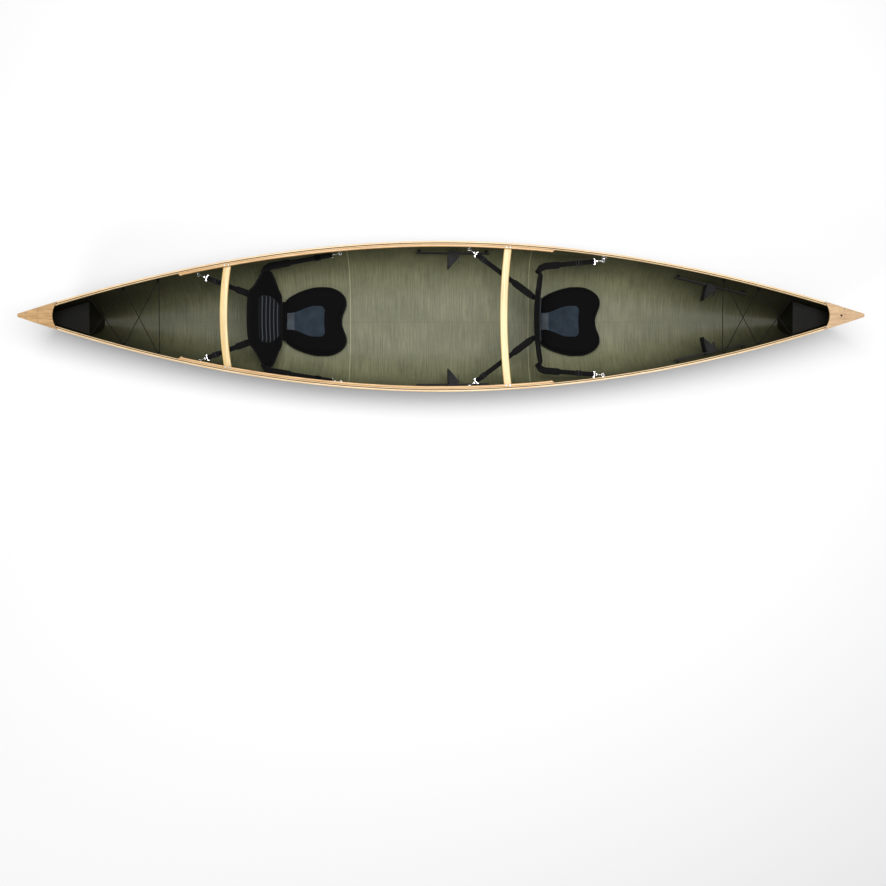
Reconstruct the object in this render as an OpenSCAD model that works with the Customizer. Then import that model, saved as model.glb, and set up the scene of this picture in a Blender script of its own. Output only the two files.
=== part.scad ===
// Tandem pack canoe: a thin laminate hull with ash rails, decks and thwarts,
// two strapped-in padded seats and four sliding foot braces.
// +X points to the bow, +Y to port, +Z up. The origin is under the keel, amidships.

/* [Hull] */
// Length over the tips of the two decks
loa = 4880; // [4400:10:5900]
// Beam over the outer faces of the outwales
beam = 877; // [730:1:1060]
// Height of the rails above the keel line, amidships
depth_mid = 402; // [350:1:485]
// Height of the rails above the keel line, at the tips
depth_end = 474; // [430:1:570]
// Thickness of the laminate
skin_t = 3; // [2.5:0.1:5]
// Thickness of the stem, measured along the keel line
stem_wall = 12; // [8:1:20]
// Length of the curved stem at each end
stem_len = 420; // [340:5:500]
// Width of the flat strip along the keel
keel_w = 60; // [40:1:80]

/* [Rails] */
// Width of the outer rail
outwale_w = 10; // [8:0.5:14]
// Width of the thin inner rail
inwale_w = 5.5; // [4:0.5:9]
// Width of the doubler that carries the thwarts
doubler_w = 13; // [10:0.5:18]
// Height of all the rails
rail_h = 20; // [16:0.5:26]
// Stern end of the doubler
doubler_stern_x = -1529; // [-1600:1:-1400]
// Bow end of the doubler
doubler_bow_x = 664; // [560:1:760]

/* [Decks and thwarts] */
// Length of each deck along its side
deck_len = 223; // [190:1:270]
// Depth of the curved cut in each deck
deck_arc = 29; // [15:1:40]
// Thickness of the deck plates
deck_t = 8; // [6:0.5:12]
// Distance that a deck runs past the stem
deck_nose = 20; // [14:1:26]
// Diameter of the hole in the bow deck
deck_hole_d = 12; // [8:0.5:14]
// Diameter of the bore of the painter tube
painter_d = 12; // [9:0.5:14]
// Place of the stern thwart, at its middle
stern_thwart_x = -1271; // [-1320:1:-1240]
// Place of the centre thwart, at its middle
centre_thwart_x = 368; // [340:1:380]
// Width of the thwarts
thwart_w = 44; // [36:1:54]
// Thickness of the thwarts
thwart_t = 18; // [15:0.5:22]
// Distance that the middle of a thwart lies aft of its ends
thwart_bow = 25; // [10:1:40]
// Diameter of the thwart bolts
bolt_d = 6; // [5:0.5:8]

/* [Seats] */
// Rear edge of the stern seat pad
stern_seat_x = -964; // [-1000:1:-930]
// Rear edge of the bow seat pad
bow_seat_x = 598; // [570:1:620]
// Length of a seat pad
pad_len = 380; // [320:1:400]
// Width of a seat pad
pad_w = 436; // [380:1:470]
// Height of the top of a seat pad
pad_top = 62; // [58:1:76]
// Height of a backrest along its slope
back_h = 315; // [280:1:340]
// Span of a backrest over its wings
back_w = 582; // [480:1:600]
// Thickness of a backrest
back_t = 24; // [16:1:30]
// Recline of the stern backrest
stern_recline = 33; // [15:0.5:36]
// Recline of the bow backrest
bow_recline = 6; // [3:0.5:12]
// Width of the seat webbing
web_w = 28; // [20:1:30]
// Thickness of the seat webbing
web_t = 2; // [1.5:0.1:3]
// Height of the strap eyes on the hull
eye_z = 300; // [270:1:310]

/* [Foot braces] */
// Length of a foot brace rail
brace_len = 440; // [360:1:460]
// Height of the foot brace rails above the keel line
brace_z = 225; // [200:1:250]
// Place of the braces of the stern paddler
stern_brace_x = 70; // [40:1:90]
// Place of the braces of the bow paddler
bow_brace_x = 1612; // [1590:1:1640]
// Height of a foot brace rail's section
track_h = 24; // [20:1:28]
// Depth of a foot brace rail's section
track_d = 10; // [8:0.5:12]
// Distance that a pedal stands out from its rail
pedal_reach = 88; // [70:1:95]
// Height of a pedal
pedal_h = 96; // [70:1:110]

/* [End lacing and floats] */
// Diameter of the lacing cord
cord_d = 4.5; // [3:0.5:5]
// Height of the float tanks
float_z = 300; // [240:1:310]
// Distance from a tip of the canoe to the face of its bulkhead
bulkhead_from_end = 355; // [330:1:370]

/* [Hidden] */

$fn = 32;
ash = [0.91, 0.80, 0.62];
ash_dark = [0.86, 0.70, 0.46];
laminate = [0.38, 0.38, 0.41];
inside_laminate = [0.41, 0.42, 0.34];
black = [0.06, 0.06, 0.07];
slate = [0.20, 0.23, 0.27];
chrome = [0.80, 0.80, 0.82];

gap = 0.3;             // between neighbouring pieces
soft_gap = 3;          // between soft or bonded pieces and the laminate
plan_power = 1.95;     // how full the plan outline is
tip_share = 0.02;      // half-beam at a tip, as a share of the half-beam
sheer_power = 3.2;     // how late the sheer rises
section_mid = 3.2;     // superellipse power of the section, amidships
section_end = 1.3;     // and at the stems
section_fade = 2.5;    // how late the section sharpens
stem_power = 2.65;     // superellipse power of the stem
stem_half = 4.5;       // half-thickness of the stem's front
stem_face = 18;        // height of the upright face at the top of the stem
hull_end = loa / 2 - deck_nose;
stem_start = hull_end - stem_len;
stem_h = sheer_z(hull_end) - stem_face;
deck_x = loa / 2 - deck_len;
bulkhead_x = loa / 2 - bulkhead_from_end;
long_steps = 16;       // stations from amidships to the start of a stem
stem_steps = 10;       // stations around a stem
girth_steps = 14;      // points from the rail to the keel

// ---- Hull lines -----------------------------------------------------------
function rail_half(x) =
  beam / 2 * (tip_share + (1 - tip_share) * (1 - pow(2 * abs(x) / loa, plan_power)));
function sheer_z(x) =
  depth_mid + (depth_end - depth_mid) * pow(2 * abs(x) / loa, sheer_power);
// The hull and rails are lower by the deck's thickness under the decks.
function rim_z(x) = sheer_z(x) - (abs(x) > deck_x ? deck_t + gap : 0);
function section_n(x) =
  section_end + (section_mid - section_end) * (1 - pow(min(1, abs(x) / hull_end), section_fade));
function stem_rise(share) =
  1 - pow(max(0, 1 - pow(min(1, max(0, share)), stem_power)), 1 / stem_power);

// Outer skin when in is 0, inner skin when in is 1
function hull_half(x, in) = rail_half(x) - outwale_w - gap - in * skin_t;
function keel_half(x, in) = max(1.5,
  stem_half + (keel_w / 2 - stem_half) * (1 - pow(min(1, abs(x) / hull_end), 4)) - in * skin_t);
function keel_z(x, in) =
  in * skin_t + (stem_h - in * skin_t)
  * stem_rise((abs(x) - stem_start) / (stem_len - in * stem_wall));
function skin_y(x, z, in) =
  let (t = min(1, max(0, (sheer_z(x) - z) / (sheer_z(x) - keel_z(x, in)))), n = section_n(x))
  keel_half(x, in) + (hull_half(x, in) - keel_half(x, in)) * pow(1 - pow(t, n), 1 / n);
function floor_z(x, y) =
  let (s = max(0, abs(y) - keel_half(x, 1)) / (hull_half(x, 1) - keel_half(x, 1)),
       n = section_n(x))
  sheer_z(x) - (sheer_z(x) - keel_z(x, 1)) * pow(1 - pow(min(1, s), n), 1 / n);

// Stations along the hull, closer together around the stems
HALF_STATIONS = concat(
  [for (i = [1:long_steps]) stem_start * i / long_steps],
  [for (i = [1:stem_steps]) stem_start + stem_len * pow(sin(90 * i / stem_steps), 2 / stem_power)]);
BOW_STATIONS = concat(
  [for (x = HALF_STATIONS) if (x < deck_x - 6) x],
  [deck_x - 0.5, deck_x + 0.5],
  [for (x = HALF_STATIONS) if (x > deck_x + 6) x]);
STATIONS = concat(
  [for (i = [len(BOW_STATIONS) - 1:-1:0]) -BOW_STATIONS[i]], [0], BOW_STATIONS);
function between(a, b) = concat([a], [for (x = STATIONS) if (x > a + 2 && x < b - 2) x], [b]);

// Half a section, from the rim down to the edge of the keel strip, as [y, z]
function half_section(x, in, top, below) =
  let (deep = sheer_z(x) - keel_z(x, in),
       n = section_n(x),
       low = min(0.97, below / deep),
       start = asin(pow(low, n / 2)))
  concat([[skin_y(x, top, in), top]],
    [for (j = [0:girth_steps])
      let (a = start + (90 - start) * j / girth_steps)
      [keel_half(x, in) + (hull_half(x, in) - keel_half(x, in)) * pow(max(0, cos(a)), 2 / n),
       sheer_z(x) - deep * pow(sin(a), 2 / n)]]);
function full_section(x, in, top, below) =
  let (half = half_section(x, in, top, below))
  concat([for (p = half) [x, p[0], p[1]]],
    [for (i = [len(half) - 1:-1:0]) [x, -half[i][0], half[i][1]]]);

// ---- Shared shapes ----------------------------------------------------------
// A closed solid through a list of rings that have the same number of points
module loft(rings) {
  n = len(rings[0]);
  m = len(rings);
  polyhedron(
    points = [for (r = rings) for (p = r) p],
    faces = concat(
      [[for (i = [0:n - 1]) i]],
      [for (k = [0:m - 2]) for (i = [0:n - 1])
        let (a = k * n + i, b = k * n + (i + 1) % n)
        each [[a, a + n, b + n], [a, b + n, b]]],
      [[for (i = [n - 1:-1:0]) (m - 1) * n + i]]));
}

// A strip along the port sheer, between two distances from the outer skin
module rail_strip(a, b, outer, inner, mitre = 0) {
  xs = between(a, b);
  function low_z(x) = sheer_z(x) - rail_h;
  function side(x, edge, z) = skin_y(x, z, 0) + edge;
  rings = [for (x = xs)
    let (dx = x == a ? mitre : x == b ? -mitre : 0,
         half = outer > 0 ? rail_half(x) : side(x, outer, rim_z(x)))
    [[x, half, rim_z(x)],
     [x, outer > 0 ? half : side(x, outer, low_z(x)), low_z(x)],
     [x + dx, side(x + dx, inner, low_z(x + dx)), low_z(x + dx)],
     [x + dx, side(x + dx, inner, rim_z(x + dx)), rim_z(x + dx)]]];
  loft(rings);
}

// Plan angle of the port side at x
function plan_angle(x, z) = atan((skin_y(x + 10, z, 1) - skin_y(x - 10, z, 1)) / 20);

// ---- Hull --------------------------------------------------------------------
function inner_x(x) =
  abs(x) <= stem_start ? x
  : sign(x) * (stem_start + (abs(x) - stem_start) * (stem_len - stem_wall) / stem_len);

module shell_form() {
  outer = [for (x = STATIONS) full_section(x, 0, rim_z(x), rail_h)];
  inner = [for (x = STATIONS)
    let (xi = inner_x(x), top = rim_z(x) - (sheer_z(x) - sheer_z(xi)))
    full_section(xi, 1, top, rail_h)];
  n = len(outer[0]);
  m = len(STATIONS);
  all = n * m;
  polyhedron(
    points = concat([for (r = outer) for (p = r) p], [for (r = inner) for (p = r) p]),
    faces = concat(
      [for (k = [0:m - 2]) for (i = [0:n - 2])
        let (a = k * n + i)
        each [[a, a + n, a + n + 1], [a, a + n + 1, a + 1]]],
      [for (k = [0:m - 2]) for (i = [0:n - 2])
        let (a = all + k * n + i)
        each [[a, a + n + 1, a + n], [a, a + 1, a + n + 1]]],
      [for (k = [0:m - 2])
        let (a = k * n)
        each [[a, all + a, all + a + n], [a, all + a + n, a + n]]],
      [for (k = [0:m - 2])
        let (a = k * n + n - 1)
        each [[a, a + n, all + a + n], [a, all + a + n, all + a]]],
      [[for (i = [0:n - 1]) i],
       [for (i = [n - 1:-1:0]) all + i],
       [0, n - 1, all + n - 1, all],
       [for (i = [n - 1:-1:0]) (m - 1) * n + i],
       [for (i = [0:n - 1]) all + (m - 1) * n + i],
       [(m - 1) * n, all + (m - 1) * n, all + m * n - 1, m * n - 1]]));
}

painter_x = hull_end - 23;
painter_z = depth_mid;
painter_wall = 1.5;

module hull_shell() {
  color(laminate) difference() {
    shell_form();
    translate([painter_x, 0, painter_z]) rotate([90, 0, 0])
      cylinder(h = 80, d = painter_d + 2 * painter_wall + 2 * gap, center = true);
  }
}

module painter_tube() {
  half = skin_y(painter_x, painter_z, 0) + 3;
  color(black) translate([painter_x, 0, painter_z]) rotate([90, 0, 0]) difference() {
    cylinder(h = 2 * half, d = painter_d + 2 * painter_wall, center = true);
    cylinder(h = 2 * half + 2, d = painter_d, center = true);
  }
}

// ---- Rails -------------------------------------------------------------------
inwale_end = deck_x + 70;
inwale_out = -skin_t - gap;
inwale_in = inwale_out - inwale_w;
doubler_out = inwale_in - gap;
doubler_in = doubler_out - doubler_w;

module outwale_port() { color(ash) rail_strip(-hull_end, hull_end, 1, gap); }
module outwale_stbd() { mirror([0, 1, 0]) outwale_port(); }
module inwale_port() {
  color(ash) rail_strip(-inwale_end, inwale_end, inwale_out, inwale_in);
}
module inwale_stbd() { mirror([0, 1, 0]) inwale_port(); }

bolt_spread = 11;
function thwart_bolt_y(x) = skin_y(x, sheer_z(x) - rail_h / 2, 0) + (doubler_out + doubler_in) / 2;
thwart_end_stern = stern_thwart_x + thwart_bow;
thwart_end_centre = centre_thwart_x + thwart_bow;
BOLT_XS = [for (x = [thwart_end_stern, thwart_end_centre]) for (s = [-1, 1]) x + s * bolt_spread];

module port_bolt_holes() {
  for (x = BOLT_XS)
    translate([x, thwart_bolt_y(x), sheer_z(x) - 60]) cylinder(h = 120, d = bolt_d + 0.3);
}

module doubler_port() {
  color(ash_dark) difference() {
    rail_strip(doubler_stern_x, doubler_bow_x, doubler_out, doubler_in, 18);
    port_bolt_holes();
  }
}
module doubler_stbd() { mirror([0, 1, 0]) doubler_port(); }

// ---- Decks -------------------------------------------------------------------
DECK_SCREW_XS = [deck_x + 12, deck_x + 111, deck_x + 178];
deck_screw_in = 9;
deck_screw_d = 4;
deck_land = 4;         // flat end of a deck beside its curved cut
deck_arc_r = let (c = rail_half(deck_x) - deck_land)
  (c * c + deck_arc * deck_arc) / (2 * deck_arc);
deck_hole_x = deck_x + 95;

module deck_plate() {
  // The plate deepens into a nose just past the stem
  nose_x = hull_end + gap;
  function under(x) = x > nose_x ? rail_h : deck_t;
  xs = concat(
    [deck_x + 0.5 + gap], [for (i = [1:6]) deck_x + (nose_x - deck_x) * i / 6],
    [nose_x + 0.6, loa / 2 - 4, loa / 2]);
  difference() {
    loft([for (x = xs)
      let (h = rail_half(x) - (x == loa / 2 ? 2.5 : 0), u = under(x))
      [[x, h, sheer_z(x)], [x, h, sheer_z(x) - u], [x, -h, sheer_z(x) - u], [x, -h, sheer_z(x)]]]);
    translate([deck_x + deck_arc - deck_arc_r, 0, depth_mid - 50])
      cylinder(h = 200, r = deck_arc_r, $fn = 96);
    for (x = DECK_SCREW_XS) for (s = [-1, 1])
      translate([x, s * (rail_half(x) - deck_screw_in), sheer_z(x) - 20])
        cylinder(h = 40, d = deck_screw_d + 0.3);
  }
}
module bow_deck() {
  color(ash_dark) difference() {
    deck_plate();
    translate([deck_hole_x, 0, sheer_z(deck_hole_x) - 30]) cylinder(h = 60, d = deck_hole_d);
  }
}
module stern_deck() { color(ash_dark) mirror([1, 0, 0]) deck_plate(); }

module deck_screws() {
  head_d = 8;
  slot_w = 1;
  color(chrome)
    for (e = [-1, 1]) for (s = [-1, 1]) for (x = DECK_SCREW_XS)
      translate([e * x, s * (rail_half(x) - deck_screw_in), sheer_z(x)]) difference() {
        union() {
          translate([0, 0, -deck_t + 0.2]) cylinder(h = deck_t, d = deck_screw_d);
          translate([0, 0, 0.5]) cylinder(h = 1.4, d1 = head_d, d2 = 0.69 * head_d);
        }
        translate([0, 0, 1.8]) cube([slot_w, head_d + 1, 1.2], center = true);
      }
}

// ---- Thwarts -----------------------------------------------------------------
function thwart_top(x) = sheer_z(max(0, abs(x) - thwart_w)) - rail_h - gap;
module thwart(mid_x) {
  end_x = mid_x + thwart_bow;
  top = thwart_top(end_x);
  half = skin_y(abs(end_x) + thwart_w / 2, top - thwart_t, 1) - soft_gap;
  r = (half * half + thwart_bow * thwart_bow) / (2 * thwart_bow);
  steps = 24;
  function arc_x(y) = mid_x + r - sqrt(r * r - y * y);
  ys = [for (i = [0:steps]) half * (2 * i / steps - 1)];
  difference() {
    translate([0, 0, top - thwart_t]) linear_extrude(thwart_t)
      polygon(concat(
        [for (y = ys) [arc_x(y) - thwart_w / 2, y]],
        [for (i = [steps:-1:0]) [arc_x(ys[i]) + thwart_w / 2, ys[i]]]));
    port_bolt_holes();
    mirror([0, 1, 0]) port_bolt_holes();
  }
}
module stern_thwart() { color(ash) thwart(stern_thwart_x); }
module centre_thwart() { color(ash) thwart(centre_thwart_x); }

module thwart_bolts() {
  nut_t = 5;
  nut_d = 11.5;
  head_d = 12.4;
  washer_d = 14;
  color(chrome) for (s = [-1, 1]) for (x = BOLT_XS) {
    low = thwart_top(x < 0 ? thwart_end_stern : thwart_end_centre) - thwart_t;
    translate([x, s * thwart_bolt_y(x), 0]) {
      translate([0, 0, low - nut_t - 3]) cylinder(h = sheer_z(x) - low + nut_t + 4, d = bolt_d);
      translate([0, 0, sheer_z(x) + 0.6]) cylinder(h = 2, d1 = head_d, d2 = 9);
      translate([0, 0, low - 1.7]) cylinder(h = 1.4, d = washer_d);
      translate([0, 0, low - 1.7 - nut_t]) cylinder(h = nut_t, d = nut_d, $fn = 6);
    }
  }
}

// ---- Bulkheads and floats -----------------------------------------------------
function tank_ring(x, clear) =
  let (deep = sheer_z(x) - keel_z(x, 1),
       n = section_n(x),
       start = asin(pow((sheer_z(x) - float_z) / deep, n / 2)),
       half = [for (j = [0:8])
         let (a = start + (90 - start) * j / 8)
         [max(0.4, keel_half(x, 1) - clear / 2
            + (hull_half(x, 1) - keel_half(x, 1) - clear) * pow(max(0, cos(a)), 2 / n)),
          sheer_z(x) - deep * pow(sin(a), 2 / n) + clear * j / 8]])
  concat([for (p = half) [x, p[0], p[1]]],
    [for (i = [8:-1:0]) [x, -half[i][0], half[i][1]]]);

bulkhead_t = 3;
module bow_bulkhead() {
  color(inside_laminate) loft([for (x = [bulkhead_x - bulkhead_t, bulkhead_x]) tank_ring(x, soft_gap)]);
}
module stern_bulkhead() { mirror([1, 0, 0]) bow_bulkhead(); }
module bow_float() {
  color(inside_laminate) loft([for (i = [0:5])
    let (x = bulkhead_x + gap + (stem_len * 0.57) * i / 5) tank_ring(x, soft_gap + 1)]);
}
module stern_float() { mirror([1, 0, 0]) bow_float(); }

// ---- Foot braces ----------------------------------------------------------------
// Brace 1 is stern port, 2 stern starboard, 3 bow port and 4 bow starboard.
track_off = 12;        // clear space between a rail and the laminate
boss_from_end = 20;    // distance of a boss from the end of its rail
sleeve_t = 4;          // wall of the pedal's sleeve
sleeve_gap = 0.4;      // clear space between a rail and the pedal's sleeve
sleeve_len = 60;
plate_t = 5;
gusset_t = 4;
gusset_z = 14;
lock_pin_r = 2;
lock_gap = 0.05;
lock_x = sleeve_len / 2 + 7;
lock_y = -track_d / 2 - sleeve_gap - sleeve_t - 6;

function brace_side(x) = skin_y(x, brace_z - track_h / 2 - 2, 1) - track_off - track_d / 2;
function brace_yaw(xc) =
  atan((brace_side(xc + brace_len / 2) - brace_side(xc - brace_len / 2)) / brace_len);
function brace_y(xc) = (brace_side(xc + brace_len / 2) + brace_side(xc - brace_len / 2)) / 2;

// Places its children on one of the four rails: +X along the rail, +Y outboard
module at_brace(i) {
  xc = i < 3 ? stern_brace_x : bow_brace_x;
  mirror([0, i % 2 == 0 ? 1 : 0, 0])
    translate([xc, brace_y(xc), brace_z]) rotate([0, 0, brace_yaw(xc)]) children();
}

module brace_rail(i) {
  groove = 6;
  color(black) at_brace(i) {
    difference() {
      cube([brace_len, track_d, track_h], center = true);
      translate([0, -track_d / 2, 0]) cube([brace_len - 40, groove, track_h / 2], center = true);
    }
    for (s = [-1, 1]) translate([s * (brace_len / 2 - boss_from_end), track_d / 2 - 1, 0]) {
      rotate([-90, 0, 0]) cylinder(h = track_off, d = 18);
      translate([0, -track_d - 1, 0]) rotate([-90, 0, 0]) cylinder(h = 3, d = 9);
    }
  }
}

module pedal(i) {
  out_y = -track_d / 2 - sleeve_gap - sleeve_t;
  tip_y = out_y - pedal_reach;
  in_h = track_h + 2 * sleeve_gap;
  in_d = track_d + 2 * sleeve_gap;
  color(black) at_brace(i) {
    difference() {
      cube([sleeve_len, in_d + 2 * sleeve_t, in_h + 2 * sleeve_t], center = true);
      cube([sleeve_len + 2, in_d, in_h], center = true);
    }
    // Foot plate with rounded corners, on the paddler's side
    translate([-sleeve_len / 2, 0, 0]) rotate([90, 0, 90]) linear_extrude(plate_t)
      hull() for (s = [-1, 1]) {
        translate([tip_y + 14, s * (pedal_h / 2 - 14)]) circle(r = 14);
        translate([out_y - 6, s * (pedal_h / 2 - 8)]) circle(r = 8);
      }
    // Gussets above and below the lock
    for (s = [-1, 1]) translate([0, 0, s * gusset_z - gusset_t / 2]) linear_extrude(gusset_t)
      polygon([[-sleeve_len / 2 + 2, out_y + 1], [sleeve_len / 2, out_y + 1],
               [lock_x + 5, lock_y - 4], [lock_x - 3, lock_y - 8],
               [-sleeve_len / 2 + plate_t + 6, tip_y + 8], [-sleeve_len / 2 + 2, tip_y + 8]]);
    translate([lock_x, lock_y, 0]) cylinder(h = 2 * gusset_z + 1, r = lock_pin_r, center = true);
    for (s = [-1, 1]) translate([lock_x, lock_y, s * gusset_z])
      cylinder(h = gusset_t - 1, r = 5, center = true);
  }
}

module pedal_lock(i) {
  barrel = 2 * gusset_z - gusset_t - 1;
  color([0.25, 0.25, 0.27]) at_brace(i) translate([lock_x, lock_y, 0]) {
    difference() {
      union() {
        cylinder(h = barrel, r = 4.5, center = true);
        translate([-2, -19, 0]) cube([4, 34, barrel], center = true);
        translate([-2, -38, 0]) cylinder(h = barrel, r = 3.5, center = true);
      }
      cylinder(h = barrel + 2, r = lock_pin_r + lock_gap, center = true);
    }
  }
}

module brace_rail_1() { brace_rail(1); }
module brace_rail_2() { brace_rail(2); }
module brace_rail_3() { brace_rail(3); }
module brace_rail_4() { brace_rail(4); }
module pedal_1() { pedal(1); }
module pedal_2() { pedal(2); }
module pedal_3() { pedal(3); }
module pedal_4() { pedal(4); }
module pedal_lock_1() { pedal_lock(1); }
module pedal_lock_2() { pedal_lock(2); }
module pedal_lock_3() { pedal_lock(3); }
module pedal_lock_4() { pedal_lock(4); }

// ---- Seat pads --------------------------------------------------------------------
// Outline of a pad in plan: a narrow straight rear, round cheeks and a front notch
cheek_x = 0.6;         // share of the length at which the pad is widest
rear_half = 0.27;      // half-width of the rear edge, as a share of the pad's width
rear_round = 1.5;      // power of the curve from the rear edge to a cheek
notch = 26;            // depth of the notch in the front edge
function pad_rear(s) =
  let (y = abs(s) / 2, t = max(0, (y - rear_half) / (0.5 - rear_half)))
  pad_len * cheek_x * (1 - pow(max(0, 1 - pow(t, rear_round)), 1 / rear_round));
function pad_front(s) =
  let (lobe = 0.27, y = abs(s) / 2, t = max(0, (y - lobe) / (0.5 - lobe)))
  y < lobe ? pad_len - notch * pow(cos(90 * y / lobe), 2)
  : pad_len * cheek_x + pad_len * (1 - cheek_x) * sqrt(max(0, 1 - t * t));

module seat_pad(rear_x) {
  cols = 20;
  rows = 6;
  edge = 0.985;
  narrow_x = max(abs(rear_x), abs(rear_x + pad_len));
  function side(i) = edge * sin(90 * (2 * i / cols - 1));
  function spot(i, j) =
    let (s = side(i), a = pad_rear(s), b = pad_front(s), x = rear_x + a + (b - a) * j / rows)
    [x, s * pad_w / 2];
  n = rows + 1;
  all = (cols + 1) * n;
  low = [for (i = [0:cols]) for (j = [0:rows])
    let (p = spot(i, j)) [p[0], p[1], floor_z(narrow_x, p[1]) + soft_gap]];
  high = [for (i = [0:cols]) for (j = [0:rows]) let (p = spot(i, j)) [p[0], p[1], pad_top]];
  rim = concat(
    [for (j = [0:rows]) j], [for (i = [1:cols]) i * n + rows],
    [for (j = [rows - 1:-1:0]) cols * n + j], [for (i = [cols - 1:-1:1]) i * n]);
  k = len(rim);
  polyhedron(
    points = concat(low, high),
    faces = concat(
      [for (i = [0:cols - 1]) for (j = [0:rows - 1])
        let (a = i * n + j) each [[a, a + n, a + n + 1], [a, a + n + 1, a + 1]]],
      [for (i = [0:cols - 1]) for (j = [0:rows - 1])
        let (a = all + i * n + j) each [[a, a + n + 1, a + n], [a, a + 1, a + n + 1]]],
      [for (i = [0:k - 1])
        let (a = rim[i], b = rim[(i + 1) % k]) each [[a, b, all + b], [a, all + b, all + a]]]));
}

insert_t = 4;
module seat_insert(rear_x) {
  front_half = 94;
  back_half = 58;
  back_x = 22;
  front_x = 246;
  round_share = 0.6;   // how deep the rounded rear edge is, as a share of its half-width
  side_from = back_x + 36;
  side_len = front_x - side_from;
  front_dip = 12;      // depth of the hollow in the front edge
  color(slate) translate([rear_x, 0, pad_top + gap]) linear_extrude(insert_t) polygon(concat(
    [for (i = [0:12]) let (a = -90 + 15 * i)
      [back_x + back_half * (1 - cos(a)) * round_share, back_half * sin(a)]],
    [for (i = [0:10]) let (t = i / 10)
      [side_from + side_len * t, back_half + (front_half - back_half) * t * t]],
    [for (i = [1:9]) let (y = front_half * (1 - i / 5))
      [front_x - front_dip * cos(90 * y / front_half), y]],
    [for (i = [10:-1:0]) let (t = i / 10)
      [side_from + side_len * t, -back_half - (front_half - back_half) * t * t]]));
}

module stern_seat_pad() { color(black) seat_pad(stern_seat_x); }
module bow_seat_pad() { color(black) seat_pad(bow_seat_x); }
module stern_seat_insert() { seat_insert(stern_seat_x); }
module bow_seat_insert() { seat_insert(bow_seat_x); }

// ---- Backrests ----------------------------------------------------------------------
// A backrest turns about a fabric hinge just behind and above its seat pad.
hinge_back = 8;
hinge_up = 18;
back_wrap = 28;        // distance that the wings reach forward
// Half-width of a backrest at a height given as a share of back_h
function back_half(t) =
  let (half = back_w / 2)
  t < 0.46 ? 0.50 * half + 0.50 * half * pow(sin(90 * t / 0.46), 1.4)
  : t < 0.60 ? half
  : half * (1 - 0.44 * pow(sin(90 * (t - 0.60) / 0.40), 1.5));
function back_x(y, t) = back_wrap * pow(2 * y / back_w, 2);

// Places its children at a backrest's hinge, leaning back
module at_back(rear_x, recline) {
  translate([rear_x - hinge_back, 0, pad_top + hinge_up]) rotate([0, -recline, 0]) children();
}

module back_slab(h0, h1, share, x0, thick, cols, rows) {
  function spot(i, j) =
    let (t = h0 + (h1 - h0) * j / rows, y = share * back_half(t) * sin(90 * (2 * i / cols - 1)))
    [back_x(y, t), y, back_h * t];
  n = rows + 1;
  all = (cols + 1) * n;
  front = [for (i = [0:cols]) for (j = [0:rows]) spot(i, j) + [x0 + thick, 0, 0]];
  rear = [for (i = [0:cols]) for (j = [0:rows]) spot(i, j) + [x0, 0, 0]];
  rim = concat(
    [for (j = [0:rows]) j], [for (i = [1:cols]) i * n + rows],
    [for (j = [rows - 1:-1:0]) cols * n + j], [for (i = [cols - 1:-1:1]) i * n]);
  k = len(rim);
  polyhedron(
    points = concat(rear, front),
    faces = concat(
      [for (i = [0:cols - 1]) for (j = [0:rows - 1])
        let (a = i * n + j) each [[a, a + 1, a + n + 1], [a, a + n + 1, a + n]]],
      [for (i = [0:cols - 1]) for (j = [0:rows - 1])
        let (a = all + i * n + j) each [[a, a + n, a + n + 1], [a, a + n + 1, a + 1]]],
      [for (i = [0:k - 1])
        let (a = rim[i], b = rim[(i + 1) % k]) each [[b, a, all + a], [b, all + a, all + b]]]));
}

back_low = 0.02;       // lowest edge of a backrest, as a share of back_h
module backrest(rear_x, recline) {
  color(black) at_back(rear_x, recline)
    back_slab(back_low, 1, 1, -back_t / 2, back_t, 16, 12);
}
module back_panel(rear_x, recline) {
  color(slate) at_back(rear_x, recline)
    back_slab(0.10, 0.72, 0.48, back_t / 2 + gap, 3, 10, 6);
}
module stern_backrest() { backrest(stern_seat_x, stern_recline); }
module bow_backrest() { backrest(bow_seat_x, bow_recline); }
module stern_back_panel() { back_panel(stern_seat_x, stern_recline); }
module bow_back_panel() { back_panel(bow_seat_x, bow_recline); }

// ---- Straps, hooks and eyes ------------------------------------------------------------
// Each row: station of the hull eye, then the strap's far end as [x, y, z], port side
wing_clear = 4;
strap_out = back_w / 2 + web_w / 2 + wing_clear;
function wing_at(rear_x, recline, up) =
  let (h = back_h * up)
  [rear_x - hinge_back - h * sin(recline) + back_wrap * cos(recline), strap_out,
   pad_top + hinge_up + h * cos(recline)];
function nape_at(rear_x, recline, up, y) =
  let (h = back_h * up, b = -back_t / 2 - 5 + back_wrap * pow(2 * y / back_w, 2))
  [rear_x - hinge_back - h * sin(recline) + b * cos(recline), y,
   pad_top + hinge_up + h * cos(recline) + b * sin(recline)];
STRAPS = [
  [stern_seat_x - 469, nape_at(stern_seat_x, stern_recline, 0.80, 135)],
  [stern_seat_x + 369, wing_at(stern_seat_x, stern_recline, 0.53)],
  [bow_seat_x - 430, nape_at(bow_seat_x, bow_recline, 0.78, 115)],
  [bow_seat_x + 362, wing_at(bow_seat_x, bow_recline, 0.53)]
];
eye_r = 8;
wire_r = 2;
plate_off = 1.2;       // clear space between an eye's plate and the laminate
eye_plate_t = 3;
eye_plate = [32, 20];  // length and height of an eye's plate
boss_t = 5;            // from the plate to the ring's wire
boss_w = 9;
boss_in = 2;           // how far a boss and its ring run into each other
eye_stand = plate_off + eye_plate_t + boss_t + eye_r - boss_in;
function eye_at(k) =
  let (x = STRAPS[k][0], low = eye_z - eye_plate[1] / 2 - 1)
  [x, skin_y(x, low, 1) - eye_stand, eye_z];
function pull(k) = STRAPS[k][1] - eye_at(k);
function pull_yaw(k) = atan2(pull(k)[1], pull(k)[0]);
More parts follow.
